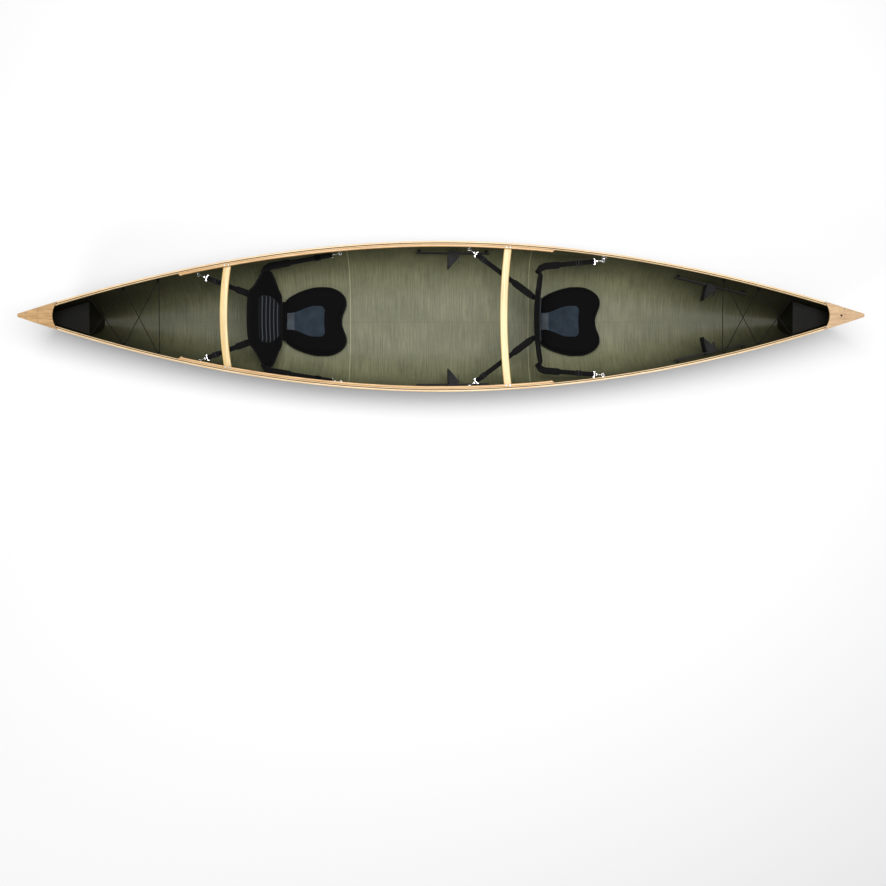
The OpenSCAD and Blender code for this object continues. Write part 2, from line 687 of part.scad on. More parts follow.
function pull_pitch(k) = atan2(pull(k)[2], norm([pull(k)[0], pull(k)[1]]));

// Hooks 1 to 4 are on the port side from stern to bow, and 5 to 8 to starboard.
module on_side(k) { mirror([0, k > 4 ? 1 : 0, 0]) children(); }
module at_hook(k) {
  i = (k - 1) % 4;
  on_side(k) translate(eye_at(i)) rotate([0, -pull_pitch(i), pull_yaw(i)]) children();
}

module strap_eyes() {
  color(chrome) for (k = [1:8]) {
    i = (k - 1) % 4;
    x = STRAPS[i][0];
    on_side(k) translate(eye_at(i)) {
      rotate_extrude() translate([eye_r, 0]) circle(r = wire_r);
      rotate([0, 0, plan_angle(x, eye_z)]) {
        translate([0, eye_stand - plate_off - eye_plate_t / 2, 0])
          cube([eye_plate[0], eye_plate_t, eye_plate[1]], center = true);
        translate([0, eye_r + (boss_t - boss_in) / 2, 0]) cube([boss_w, boss_t, boss_w], center = true);
      }
    }
  }
}

hook_r = 7;            // radius of the hook's ends, at the middle of its wire
hook_len = 44;         // inside length of the hook
gate_from = 11;
gate_hinge = 33;
gate_r = 1.6;
bar_x = hook_len + 9;

module half_ring(r, wire) {
  rotate_extrude(angle = 180) translate([r, 0]) circle(r = wire);
}

module hook_body() {
  straight_r = wire_r - 0.2;
  rotate([90, 0, 0]) {
    translate([hook_r, 0, 0]) rotate([0, 0, 90]) half_ring(hook_r, wire_r);
    translate([hook_len - hook_r, 0, 0]) rotate([0, 0, -90]) half_ring(hook_r, wire_r);
  }
  translate([hook_r - 0.6, 0, -hook_r]) rotate([0, 90, 0])
    cylinder(h = hook_len - 2 * hook_r + 1.2, r = straight_r);
  // Nose that the gate closes onto
  translate([hook_r - 0.6, 0, hook_r]) rotate([0, 90, 0])
    cylinder(h = gate_from - hook_r + 0.2, r = straight_r);
  // Cheeks and pin of the gate's hinge
  for (s = [-1, 1]) translate([gate_hinge, s * 3.6, hook_r]) rotate([90, 0, 0])
    cylinder(h = 1.6, r = 2.8, center = true);
  for (s = [-1, 1]) translate([gate_hinge + 3.1, s * 3.6, hook_r - 0.8])
    cube([6.4, 1.5, 3], center = true);
  translate([gate_hinge + 5.2, 0, hook_r - 0.8]) cube([3, 8.4, 3.4], center = true);
  translate([gate_hinge, 0, hook_r]) rotate([90, 0, 0]) cylinder(h = 8, r = 1, center = true);
  // Swivel neck and the frame that the webbing loops around
  translate([hook_len, 0, 0]) rotate([0, 90, 0]) cylinder(h = 5, r = 3);
  translate([hook_len + 5.5, 0, 0]) cube([3, web_w + 8, 5], center = true);
  for (s = [-1, 1]) translate([hook_len + 9, s * (web_w / 2 + 2.5), 0])
    cube([8, 3, 4.4], center = true);
  translate([bar_x + 1, 0, 0]) rotate([90, 0, 0]) cylinder(h = web_w + 5, r = 1.8, center = true);
}
module snap_hooks() { color(chrome) for (k = [1:8]) at_hook(k) hook_body(); }

module hook_gate(k) {
  reach = gate_hinge - gate_from;
  color(chrome) at_hook(k) translate([gate_hinge, 0, hook_r]) difference() {
    union() {
      rotate([90, 0, 0]) cylinder(h = 5, r = 2.4, center = true);
      translate([-reach, 0, 0]) rotate([0, 90, 0]) cylinder(h = reach, r = gate_r);
    }
    rotate([90, 0, 0]) cylinder(h = 6, r = 1.05, center = true);
  }
}
module hook_gate_1() { hook_gate(1); }
module hook_gate_2() { hook_gate(2); }
module hook_gate_3() { hook_gate(3); }
module hook_gate_4() { hook_gate(4); }
module hook_gate_5() { hook_gate(5); }
module hook_gate_6() { hook_gate(6); }
module hook_gate_7() { hook_gate(7); }
module hook_gate_8() { hook_gate(8); }

// Webbing runs from the bar to the far end; a sleeve sits where the buckle is
strap_end_gap = 7;
function strap_len(k) = norm(pull((k - 1) % 4)) - strap_end_gap;
module strap(k) {
  start = bar_x + 3.6;
  at_hook(k) translate([start, -web_w / 2, -web_t / 2]) cube([strap_len(k) - start, web_w, web_t]);
}
module stern_seat_straps() { color(black) for (k = [1, 2, 5, 6]) strap(k); }
module bow_seat_straps() { color(black) for (k = [3, 4, 7, 8]) strap(k); }

buckle_len = 34;
buckle_t = 8;
module strap_buckles() {
  color(black) for (k = [1:8]) at_hook(k)
    translate([bar_x + (k % 2 == 1 ? 50 : 90), 0, 0]) difference() {
      cube([buckle_len, web_w + 8, buckle_t], center = true);
      cube([buckle_len + 2, web_w + 0.8, web_t + 0.8], center = true);
      for (s = [-1, 1]) translate([s * buckle_len / 4, 0, buckle_t / 2])
        cube([buckle_len / 4, web_w, buckle_t], center = true);
    }
}

// ---- End lacing ------------------------------------------------------------------------
LACE_XS = [for (back = [425, 225, 30]) bulkhead_x - back];
lace_drop = 70;        // height of the rail above the lacing
lace_eye_r = 7;
lace_wire = 1.5;
lace_stand = 12;       // from the middle of a lacing eye to the laminate
lace_plate = [16, 3, 22];
lace_plate_off = 1.7;  // clear space between a lacing eye's plate and the laminate
function lace_z(j) = sheer_z(LACE_XS[j]) - lace_drop;
function lace_at(j, s) =
  [LACE_XS[j], s * (skin_y(LACE_XS[j], lace_z(j) - 8, 1) - lace_stand), lace_z(j)];
function cross_at(a, b, lift) = (a + b) / 2 + [0, 0, lift];
lace_lift = cord_d / 2 + 0.4;
// The cord runs through each eye along the hull, and then turns inboard
lace_lead = 5.5;
function lead_at(j, s, d) = lace_at(j, s) + [d * lace_lead, 0, 0];
LACE_PATH = [
  lead_at(2, -1, 1), lead_at(2, -1, -1),
  cross_at(lead_at(2, -1, -1), lead_at(1, 1, 1), lace_lift), lead_at(1, 1, 1), lead_at(1, 1, -1),
  cross_at(lead_at(1, 1, -1), lead_at(0, -1, 1), lace_lift), lead_at(0, -1, 1), lead_at(0, -1, -1),
  lead_at(0, 1, -1), lead_at(0, 1, 1),
  cross_at(lead_at(0, 1, 1), lead_at(1, -1, -1), -lace_lift), lead_at(1, -1, -1), lead_at(1, -1, 1),
  cross_at(lead_at(1, -1, 1), lead_at(2, 1, -1), -lace_lift), lead_at(2, 1, -1), lead_at(2, 1, 1)
];

// Ring of the cord at a turn, square to the mean of the two directions there
lace_sides = 12;
knot_d = 9;
function unit(v) = v / norm(v);
function lace_way(i) =
  let (n = len(LACE_PATH) - 1, p = LACE_PATH[i],
       a = LACE_PATH[max(0, i - 1)], b = LACE_PATH[min(n, i + 1)])
  i == 0 ? unit(b - p) : i == n ? unit(p - a) : unit(unit(p - a) + unit(b - p));
function lace_ring(i) =
  let (way = lace_way(i), side = unit(cross([0, 0, 1], way)), up = cross(way, side))
  [for (k = [0:lace_sides - 1]) let (a = 360 * k / lace_sides)
    LACE_PATH[i] + cord_d / 2 * (cos(a) * side + sin(a) * up)];
module lacing() {
  last = len(LACE_PATH) - 1;
  color(black) union() {
    polyhedron(
      points = [for (i = [0:last]) each lace_ring(i)],
      faces = concat(
        [[for (k = [0:lace_sides - 1]) k]],
        [for (i = [0:last - 1]) for (k = [0:lace_sides - 1])
          let (a = i * lace_sides + k, b = i * lace_sides + (k + 1) % lace_sides)
          each [[a, a + lace_sides, b], [b, a + lace_sides, b + lace_sides]]],
        [[for (k = [lace_sides - 1:-1:0]) last * lace_sides + k]]));
    for (s = [-1, 1]) translate(lead_at(2, s, 1)) sphere(d = knot_d, $fn = 20);
  }
}
module bow_lacing() { lacing(); }
module stern_lacing() { mirror([1, 0, 0]) lacing(); }

module lacing_eyes() {
  color(black) for (e = [0, 1]) mirror([e, 0, 0]) for (s = [-1, 1]) for (j = [0:2])
    translate(lace_at(j, s)) {
      rotate([0, 90, 0]) rotate_extrude() translate([lace_eye_r, 0]) circle(r = lace_wire, $fn = 16);
      rotate([0, 0, s * plan_angle(LACE_XS[j], lace_z(j))])
        translate([0, s * (lace_stand - lace_plate_off - lace_plate[1] / 2), 0])
          cube(lace_plate, center = true);
    }
}

hull_shell();
outwale_port();
outwale_stbd();
inwale_port();
inwale_stbd();
doubler_port();
doubler_stbd();
bow_deck();
stern_deck();
deck_screws();
stern_thwart();
centre_thwart();
thwart_bolts();
painter_tube();
bow_bulkhead();
stern_bulkhead();
bow_float();
stern_float();
brace_rail_1();
brace_rail_2();
brace_rail_3();
brace_rail_4();
pedal_1();
pedal_2();
pedal_3();
pedal_4();
pedal_lock_1();
pedal_lock_2();
pedal_lock_3();
pedal_lock_4();
stern_seat_pad();
bow_seat_pad();
stern_seat_insert();
bow_seat_insert();
stern_backrest();
bow_backrest();
stern_back_panel();
bow_back_panel();
strap_eyes();
snap_hooks();
hook_gate_1();
hook_gate_2();
hook_gate_3();
hook_gate_4();
hook_gate_5();
hook_gate_6();
hook_gate_7();
hook_gate_8();
stern_seat_straps();
bow_seat_straps();
strap_buckles();
bow_lacing();
stern_lacing();
lacing_eyes();
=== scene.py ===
"""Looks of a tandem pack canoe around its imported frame. Metres; +X bow, +Y port, +Z up."""
import contextlib
import math

import bmesh
import bpy
from mathutils import Matrix, Vector
from mathutils.bvhtree import BVHTree


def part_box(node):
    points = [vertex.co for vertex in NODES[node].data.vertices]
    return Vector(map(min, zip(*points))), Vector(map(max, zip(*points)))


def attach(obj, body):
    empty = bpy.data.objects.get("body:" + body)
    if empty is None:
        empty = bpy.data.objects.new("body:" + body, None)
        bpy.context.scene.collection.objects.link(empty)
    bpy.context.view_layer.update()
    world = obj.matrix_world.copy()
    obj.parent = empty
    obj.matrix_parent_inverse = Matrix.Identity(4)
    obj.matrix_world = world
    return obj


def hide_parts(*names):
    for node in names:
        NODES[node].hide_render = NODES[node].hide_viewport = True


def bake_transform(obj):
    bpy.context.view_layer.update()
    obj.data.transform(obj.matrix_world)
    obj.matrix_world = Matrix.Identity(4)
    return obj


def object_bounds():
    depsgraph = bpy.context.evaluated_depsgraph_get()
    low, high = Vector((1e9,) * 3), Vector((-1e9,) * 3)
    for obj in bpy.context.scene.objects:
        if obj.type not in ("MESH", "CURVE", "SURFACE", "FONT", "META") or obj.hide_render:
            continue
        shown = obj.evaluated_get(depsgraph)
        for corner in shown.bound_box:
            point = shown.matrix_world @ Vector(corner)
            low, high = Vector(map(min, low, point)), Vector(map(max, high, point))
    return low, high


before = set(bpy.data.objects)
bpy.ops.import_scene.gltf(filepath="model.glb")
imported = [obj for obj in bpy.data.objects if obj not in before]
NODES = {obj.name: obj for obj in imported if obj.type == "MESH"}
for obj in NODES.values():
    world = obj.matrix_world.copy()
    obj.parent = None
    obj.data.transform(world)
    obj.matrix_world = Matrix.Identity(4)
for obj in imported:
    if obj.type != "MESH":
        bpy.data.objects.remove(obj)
low_corner, high_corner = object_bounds()

# ---- Camera: above the canoe and a little to starboard, aimed past it ------
CAMERA_TILT = math.radians(5)        # the line of sight to the canoe leans this far from plumb
CAMERA_RISE = 6.25                   # height of the camera above the rails
AIM_OFF = math.radians(6.75)         # the canoe lies this far above the middle of the picture
CAMERA_LENS = 43.5
RAIL_TOP = 0.41


def make_camera():
    data = bpy.data.cameras.new("camera")
    data.sensor_width = 36
    data.lens = CAMERA_LENS
    data.clip_start = 0.1
    data.clip_end = 100
    camera = bpy.data.objects.new("camera", data)
    bpy.context.collection.objects.link(camera)
    camera.location = (0.012, -math.tan(CAMERA_TILT) * CAMERA_RISE, RAIL_TOP + CAMERA_RISE)
    camera.rotation_euler = (CAMERA_TILT - AIM_OFF, 0, 0)
    bpy.context.scene.camera = camera


make_camera()

# ---- Hull lines, as in the CAD model ------
LOA = high_corner.x - low_corner.x
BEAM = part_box("outwale_port")[1].y * 2
DEPTH_MID = 0.402
DEPTH_END = 0.474
SKIN = 0.003
STEM_WALL = 0.012
STEM_LEN = 0.420
KEEL_W = 0.060
OUTWALE_W = 0.010
INWALE_W = 0.0055
DOUBLER_W = 0.013
RAIL_H = 0.020
GAP = 0.0003
DECK_LEN = 0.223
DECK_T = 0.008
HULL_END = LOA / 2 - 0.020
STEM_START = HULL_END - STEM_LEN
DECK_X = LOA / 2 - DECK_LEN
STEM_POWER = 2.65


def sheer_z(x):
    return DEPTH_MID + (DEPTH_END - DEPTH_MID) * (2 * abs(x) / LOA) ** 3.2


STEM_H = sheer_z(HULL_END) - 0.018


def rail_half(x):
    return BEAM / 2 * (0.02 + 0.98 * (1 - (2 * abs(x) / LOA) ** 1.95))


def rim_z(x):
    return sheer_z(x) - (DECK_T + GAP if abs(x) > DECK_X else 0)


def section_n(x):
    return 1.3 + 1.9 * (1 - min(1, abs(x) / HULL_END) ** 2.5)


def stem_rise(share):
    share = min(1, max(0, share))
    return 1 - max(0, 1 - share ** STEM_POWER) ** (1 / STEM_POWER)


def hull_half(x, inner):
    return rail_half(x) - OUTWALE_W - GAP - inner * SKIN


def keel_half(x, inner):
    fade = 1 - min(1, abs(x) / HULL_END) ** 4
    return max(0.0015, 0.0045 + (KEEL_W / 2 - 0.0045) * fade - inner * SKIN)


def keel_z(x, inner):
    share = (abs(x) - STEM_START) / (STEM_LEN - inner * STEM_WALL)
    return inner * SKIN + (STEM_H - inner * SKIN) * stem_rise(share)


def skin_y(x, z, inner):
    t = min(1, max(0, (sheer_z(x) - z) / (sheer_z(x) - keel_z(x, inner))))
    n = section_n(x)
    return keel_half(x, inner) + (hull_half(x, inner) - keel_half(x, inner)) * (1 - t ** n) ** (1 / n)


def floor_z(x, y):
    n = section_n(x)
    s = max(0, abs(y) - keel_half(x, 1)) / (hull_half(x, 1) - keel_half(x, 1))
    deep = sheer_z(x) - keel_z(x, 1)
    return sheer_z(x) - deep * (1 - min(1, s) ** n) ** (1 / n)


def smooth_step(t):
    t = min(1, max(0, t))
    return t * t * (3 - 2 * t)


def across_span(k, count):
    """k from 0 to count as -1 to 1."""
    return 2 * k / count - 1


def eased_span(k, count):
    """The same, with the steps closer together towards both ends."""
    return math.sin(math.pi / 2 * across_span(k, count))


def sewn(distance, width):
    """Depth of a sewn line, 1 on it and fading over width."""
    return math.exp(-(distance / width) ** 2)


# ---- Mesh helpers ------
def mesh_object(name, verts, faces, materials, uvs=None, slots=None, smooth=True):
    """A mesh piece; uvs is one (u, v) for each vertex, slots one material index for each face."""
    mesh = bpy.data.meshes.new(name)
    mesh.from_pydata([tuple(v) for v in verts], [], faces)
    for m in materials:
        mesh.materials.append(m)
    if uvs:
        layer = mesh.uv_layers.new(name="lay")
        for loop in mesh.loops:
            layer.data[loop.index].uv = uvs[loop.vertex_index]
    for poly in mesh.polygons:
        poly.use_smooth = smooth
        if slots:
            poly.material_index = slots[poly.index]
    mesh.update()
    obj = bpy.data.objects.new(name, mesh)
    bpy.context.collection.objects.link(obj)
    return obj


@contextlib.contextmanager
def editing(obj):
    bm = bmesh.new()
    bm.from_mesh(obj.data)
    yield bm
    bm.to_mesh(obj.data)
    bm.free()


def fix_normals(obj, weld=False):
    with editing(obj) as bm:
        if weld:
            bmesh.ops.remove_doubles(bm, verts=bm.verts, dist=1e-6)
        bmesh.ops.recalc_face_normals(bm, faces=bm.faces)


def grid_faces(rows, cols, start=0, flip=False):
    """Quads of a grid of rows by cols points, stored row by row."""
    out = []
    for i in range(rows - 1):
        for j in range(cols - 1):
            a = start + i * cols + j
            quad = [a, a + 1, a + cols + 1, a + cols]
            out.append(quad[::-1] if flip else quad)
    return out


def sweep(name, rings, material):
    """A solid through rings of points; u runs along it and v round it, both in metres."""
    n = len(rings[0])
    verts, uvs = [], []
    along = 0
    for k, ring in enumerate(rings):
        if k:
            along += (Vector(ring[0]) - Vector(rings[k - 1][0])).length
        around = 0
        for i in range(n + 1):
            p = Vector(ring[i % n])
            if i:
                around += (p - Vector(ring[i - 1])).length
            verts.append(p)
            uvs.append((along, around))
    faces = grid_faces(len(rings), n + 1)
    last = (len(rings) - 1) * (n + 1)
    faces.append(list(range(n - 1, -1, -1)))
    faces.append([last + i for i in range(n)])
    obj = mesh_object(name, verts, faces, [material], uvs)
    fix_normals(obj, weld=True)
    return obj


def smooth_by_angle(obj, degrees):
    for poly in obj.data.polygons:
        poly.use_smooth = True
    with editing(obj) as bm:
        for edge in bm.edges:
            if len(edge.link_faces) == 2 and edge.calc_face_angle() > math.radians(degrees):
                edge.smooth = False


def rounded_ring(width, height, radius, steps=3):
    """Points (a, b) round a rounded rectangle centred on 0, 0."""
    radius = min(radius, width / 2 - 1e-5, height / 2 - 1e-5)
    out = []
    for k, (sx, sy) in enumerate(((1, 1), (-1, 1), (-1, -1), (1, -1))):
        cx, cy = sx * (width / 2 - radius), sy * (height / 2 - radius)
        for s in range(steps + 1):
            a = math.pi / 2 * (k + s / steps)
            out.append((cx + radius * math.cos(a), cy + radius * math.sin(a)))
    return out


def direction(line, k):
    """The way that a line of points runs at its point k."""
    return (line[min(k + 1, len(line) - 1)] - line[max(k - 1, 0)]).normalized()


def tube_rings(points, radius, sides=12):
    """Rings of a round tube along points, with frames carried smoothly along it."""
    pts = [Vector(p) for p in points]
    rings = []
    side = None
    for k, p in enumerate(pts):
        ahead = direction(pts, k)
        if side is None:
            side = ahead.orthogonal().normalized()
        side = (side - ahead * side.dot(ahead)).normalized()
        up = ahead.cross(side)
        r = radius(k / (len(pts) - 1)) if callable(radius) else radius
        rings.append([p + side * (r * math.cos(2 * math.pi * s / sides))
                      + up * (r * math.sin(2 * math.pi * s / sides)) for s in range(sides)])
    return rings


def curve_points(points, per_span=8):
    """A smooth curve through points (Catmull-Rom)."""
    pts = [Vector(p) for p in points]
    pts = [pts[0] * 2 - pts[1]] + pts + [pts[-1] * 2 - pts[-2]]
    out = []
    for k in range(1, len(pts) - 2):
        a, b, c, d = pts[k - 1:k + 3]
        for s in range(per_span):
            t = s / per_span
            out.append(0.5 * ((2 * b) + (c - a) * t + (2 * a - 5 * b + 4 * c - d) * t * t
                              + (3 * b - a - 3 * c + d) * t ** 3))
    out.append(pts[-2])
    return out


def settle(obj, body, node=None):
    """Fixes a finished piece to its body, in place of its CAD node if it has one."""
    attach(obj, body)
    if node:
        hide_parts(node)


def apply_modifiers(obj):
    bpy.context.view_layer.update()
    shape = obj.evaluated_get(bpy.context.evaluated_depsgraph_get())
    mesh = bpy.data.meshes.new_from_object(shape)
    obj.modifiers.clear()
    obj.data = mesh


# ---- Material helpers ------
class Shader:
    """A short way to write a material's nodes."""

    def __init__(self, name, **sockets):
        self.material = bpy.data.materials.new(name)
        self.material.use_nodes = True
        self.tree = self.material.node_tree
        self.bsdf = self.tree.nodes["Principled BSDF"]
        for key, value in sockets.items():
            self.bsdf.inputs[key.replace("_", " ")].default_value = value

    def node(self, kind, inputs=(), **settings):
        n = self.tree.nodes.new("ShaderNode" + kind)
        for key, value in settings.items():
            setattr(n, key, value)
        for key, value in dict(inputs).items():
            if isinstance(value, bpy.types.NodeSocket):
                self.tree.links.new(value, n.inputs[key])
            else:
                n.inputs[key].default_value = value
        return n

    def math(self, operation, a, b=0.0, c=0.0):
        return self.node("Math", {0: a, 1: b, 2: c}, operation=operation).outputs[0]

    def mul(self, a, b):
        return self.math("MULTIPLY", a, b)

    def add(self, a, b):
        return self.math("ADD", a, b)

    def sub(self, a, b):
        return self.math("SUBTRACT", a, b)

    def line(self, distance, half_width):
        """1 on a line and 0 from half_width away, by the distance from it."""
        share = self.math("DIVIDE", self.math("ABSOLUTE", distance), half_width)
        return self.sub(1.0, self.math("MINIMUM", share, 1.0))

    def fit(self, value, factor, offset):
        return self.math("MULTIPLY_ADD", value, factor, offset)

    def wave(self, value, pitch, kind="SINE"):
        return self.math(kind, self.mul(value, math.pi * 2 / pitch))

    def place(self, uv=False, scale=(1, 1, 1)):
        coords = self.node("TexCoord").outputs["UV" if uv else "Object"]
        return self.node("Mapping", {"Vector": coords, "Scale": scale}).outputs[0]

    def axes(self, where):
        return self.node("SeparateXYZ", {0: where}).outputs

    def noise(self, where, scale, detail=3.0, rough=0.55):
        n = self.node("TexNoise", {"Vector": where, "Scale": scale, "Detail": detail,
                                   "Roughness": rough})
        return n.outputs["Fac"]

    def ramp(self, value, stops):
        n = self.node("ValToRGB", {"Fac": value})
        ramp = n.color_ramp
        while len(ramp.elements) < len(stops):
            ramp.elements.new(0.5)
        for element, (at, colour) in zip(ramp.elements, stops):
            element.position = at
            element.color = (*colour, 1) if len(colour) == 3 else colour
        return n.outputs["Color"]

    def mix(self, amount, a, b, blend="MIX"):
        n = self.node("Mix", data_type="RGBA", blend_type=blend)
        for key, value in ((0, amount), (6, a), (7, b)):
            if isinstance(value, bpy.types.NodeSocket):
                self.tree.links.new(value, n.inputs[key])
            elif key and len(value) == 3:
                n.inputs[key].default_value = (*value, 1)
            else:
                n.inputs[key].default_value = value
        return n.outputs[2]

    def spread(self, value, low, high):
        """value from 0 to 1 becomes low to high."""
        return self.fit(value, high - low, low)

    def set(self, key, value):
        self.tree.links.new(value, self.bsdf.inputs[key])

    def shade(self, colour, value, *stops):
        """colour times a ramp of value."""
        return self.mix(1.0, colour, self.ramp(value, stops), "MULTIPLY")

    def tint(self, colour, value, *stops):
        self.set("Base Color", self.shade(colour, value, *stops))

    def bump(self, height, distance, strength=1.0):
        n = self.node("Bump", {"Height": height, "Distance": distance, "Strength": strength})
        self.set("Normal", n.outputs[0])


def srgb(r, g, b):
    """A colour given as 0 to 255 on the screen, as the linear values that a shader takes."""
    return tuple(((c / 255 + 0.055) / 1.055) ** 2.4 if c > 10 else c / 255 / 12.92 for c in (r, g, b))


def weave_height(sh, where, tow, twill):
    """Height of woven tows, 0 to 1, and which way the top tow runs, 0 or 1."""
    axes = sh.axes(where)
    u = sh.math("DIVIDE", axes[0], tow)
    v = sh.math("DIVIDE", axes[1], tow)
    step = sh.add(sh.math("FLOOR", u), sh.math("FLOOR", v))
    repeat = 4.0 if twill else 2.0
    over = sh.math("LESS_THAN", sh.math("FLOORED_MODULO", step, repeat), repeat / 2)

    def tow_height(way):
        off = sh.sub(sh.math("FRACT", way), 0.5)
        return sh.fit(sh.mul(off, off), -4.0, 1.0)

    height = sh.add(sh.mul(over, tow_height(v)), sh.mul(sh.sub(1.0, over), tow_height(u)))
    return height, over


TOW = 0.0030                         # width of one tow of the laminate's cloth


def hull_outer_material():
    sh = Shader("hull_twill", Roughness=0.42, Coat_Weight=1.0, Coat_Roughness=0.04, Coat_IOR=1.5)
    where = sh.place(uv=True)
    height, over = weave_height(sh, where, TOW, True)
    tone = sh.mix(over, srgb(60, 60, 66), srgb(134, 134, 142))
    tone = sh.mix(sh.spread(height, 0.55, 0.0), tone, srgb(34, 34, 38))
    tone = sh.shade(tone, sh.noise(where, 9.0, 5.0), (0.3, (0.72, 0.72, 0.74)), (0.7, (1.1, 1.1, 1.1)))
    streak = sh.noise(sh.place(uv=True, scale=(60, 420, 1)), 1.0, 2.0)
    tone = sh.mix(sh.spread(streak, 0.0, 0.20), tone, srgb(140, 140, 148))
    # Painted shade: the outer skin is darkened towards the bottom, which faces away from the light above
    up = sh.axes(sh.place())[2]
    sh.tint(tone, sh.mul(up, 3.0), (0.05, (0.34, 0.36, 0.34)), (0.75, (1, 1, 1)))
    sh.set("Roughness", sh.spread(height, 0.5, 0.34))
    sh.bump(height, 0.0004, 0.5)
    return sh.material


# Edges of the laminate's cross pieces: raised pale ones amidships, faint dark ones near the ends
PALE_SEAMS = (-0.562, 0.540)
DARK_SEAMS = (-1.575, 1.690)
SEAM_HALF = 0.0030


def inner_colour(sh, where, length, weave):
    """Olive laminate: weave, resin blotches, painted shade towards the ends and up the sides, and the
    edges of its cross pieces; with its height.
    """
    height, over = weave_height(sh, weave, TOW, False)
    tone = sh.mix(over, srgb(112, 113, 88), srgb(128, 129, 103))
    tone = sh.mix(sh.spread(height, 0.45, 0.0), tone, srgb(66, 68, 52))
    blotch = sh.noise(where, 5.0, 6.0, 0.6)
    tone = sh.shade(tone, blotch, (0.25, (0.74, 0.75, 0.70)), (0.75, (1.16, 1.15, 1.10)))
    crosswise = sh.node("Mapping", {"Vector": where, "Scale": (150, 5, 1)}).outputs[0]
    streaks = sh.noise(crosswise, 1.0, 3.0, 0.7)
    tone = sh.shade(tone, streaks, (0.36, (0.72, 0.72, 0.70)), (0.64, (1.13, 1.13, 1.08)))
    # Painted shade: darker towards the ends and up the sides, where the inside of the hull lies in
    # shadow
    place = sh.axes(sh.place())
    outward = sh.fit(sh.math("ABSOLUTE", place[0]), 0.7, -0.75)
    tone = sh.shade(tone, outward, (0.0, (1, 1, 1)), (0.75, (0.18, 0.17, 0.13)))
    upward = sh.fit(place[2], 2.6, -0.12)
    tone = sh.shade(tone, upward, (0.0, (1, 1, 1)), (0.9, (0.34, 0.33, 0.27)))
    wander = sh.fit(sh.noise(where, 4.0, 1.0), 0.010, -0.005)
    along = sh.sub(length, wander)
    pale, dark = [sh.math("MAXIMUM", *[sh.line(sh.sub(along, x), SEAM_HALF) for x in places])
                  for places in (PALE_SEAMS, DARK_SEAMS)]
    tone = sh.mix(sh.mul(pale, 0.75), tone, srgb(188, 184, 146))
    tone = sh.mix(sh.mul(dark, 0.5), tone, srgb(24, 24, 14))
    return tone, sh.add(height, sh.mul(pale, 2.0))


def hull_inner_material():
    sh = Shader("hull_inside", Coat_Weight=0.10, Coat_Roughness=0.3, Specular_IOR_Level=0.3)
    where = sh.place(uv=True)
    axes = sh.axes(where)
    colour, height = inner_colour(sh, where, axes[0], where)
    keel = sh.line(axes[1], SEAM_HALF)
    sh.set("Base Color", sh.mix(sh.mul(keel, 0.45), colour, srgb(70, 72, 58)))
    sh.set("Roughness", sh.spread(sh.noise(where, 30.0), 0.36, 0.58))
    sh.bump(height, 0.0005, 0.6)
    return sh.material


def tank_material():
    sh = Shader("tank_laminate", Specular_IOR_Level=0.15)
    where = sh.place()
    turned = sh.node("Mapping", {"Vector": where, "Rotation": (0, math.radians(35), 0)}).outputs[0]
    length = sh.axes(where)[0]
    colour, height = inner_colour(sh, where, length, turned)
    # Painted shade: the tanks' laminate is darkened nearly to black, as the ends where they stand lie in
    # shadow
    sh.set("Base Color", sh.mix(1.0, colour, (0.22, 0.21, 0.17), "MULTIPLY"))
    sh.set("Roughness", sh.spread(sh.noise(where, 30.0), 0.4, 0.6))
    sh.bump(height, 0.0004, 0.5)
    return sh.material


def edge_material():
    sh = Shader("laminate_edge", Roughness=0.6)
    grain = sh.noise(sh.place(scale=(40, 400, 400)), 1.0)
    sh.set("Base Color", sh.ramp(grain, [(0.3, srgb(16, 15, 13)), (0.7, srgb(52, 47, 38))]))
    sh.bump(grain, 0.0003)
    return sh.material


def times(colour, factor):
    return tuple(c * factor for c in colour)


def wood_material(name, pale, dark, along="x"):
    """Straight-grained ash under oil: growth bands, pores, and a slow change of tone."""
    sh = Shader(name, Coat_Weight=0.35, Coat_Roughness=0.18)
    slow, fast = 1.3, 34.0
    scale = (slow, fast, fast) if along == "x" else (fast, slow, fast)
    bend = sh.noise(sh.place(scale=times(scale, 0.4)), 1.0, 2.0)
    push = sh.node("CombineXYZ", {k: sh.mul(bend, far) for k, far in enumerate((1.6, 2.2, 1.4))})
    warped = sh.node("VectorMath", {0: sh.place(scale=scale), 1: push.outputs[0]}, operation="ADD")
    bands = sh.noise(warped.outputs[0], 3.2, 4.0, 0.62)
    pores = sh.noise(sh.place(scale=times(scale, 9)), 1.0, 1.0)
    middle = tuple((a + b) / 2 for a, b in zip(pale, dark))
    base = sh.ramp(bands, [(0.28, dark), (0.45, middle), (0.62, pale)])
    pore = sh.ramp(pores, [(0.60, (0, 0, 0)), (0.74, (0.5, 0.5, 0.5))])
    sh.tint(sh.mix(pore, base, times(dark, 0.55)), sh.noise(sh.place(scale=(1.1, 1.1, 1.1)), 1.0, 2.0),
            (0.3, (0.90, 0.86, 0.80)), (0.7, (1.05, 1.04, 1.02)))
    sh.set("Roughness", sh.spread(bands, 0.46, 0.30))
    sh.bump(sh.sub(bands, sh.mul(pores, 0.6)), 0.0004, 0.5)
    return sh.material


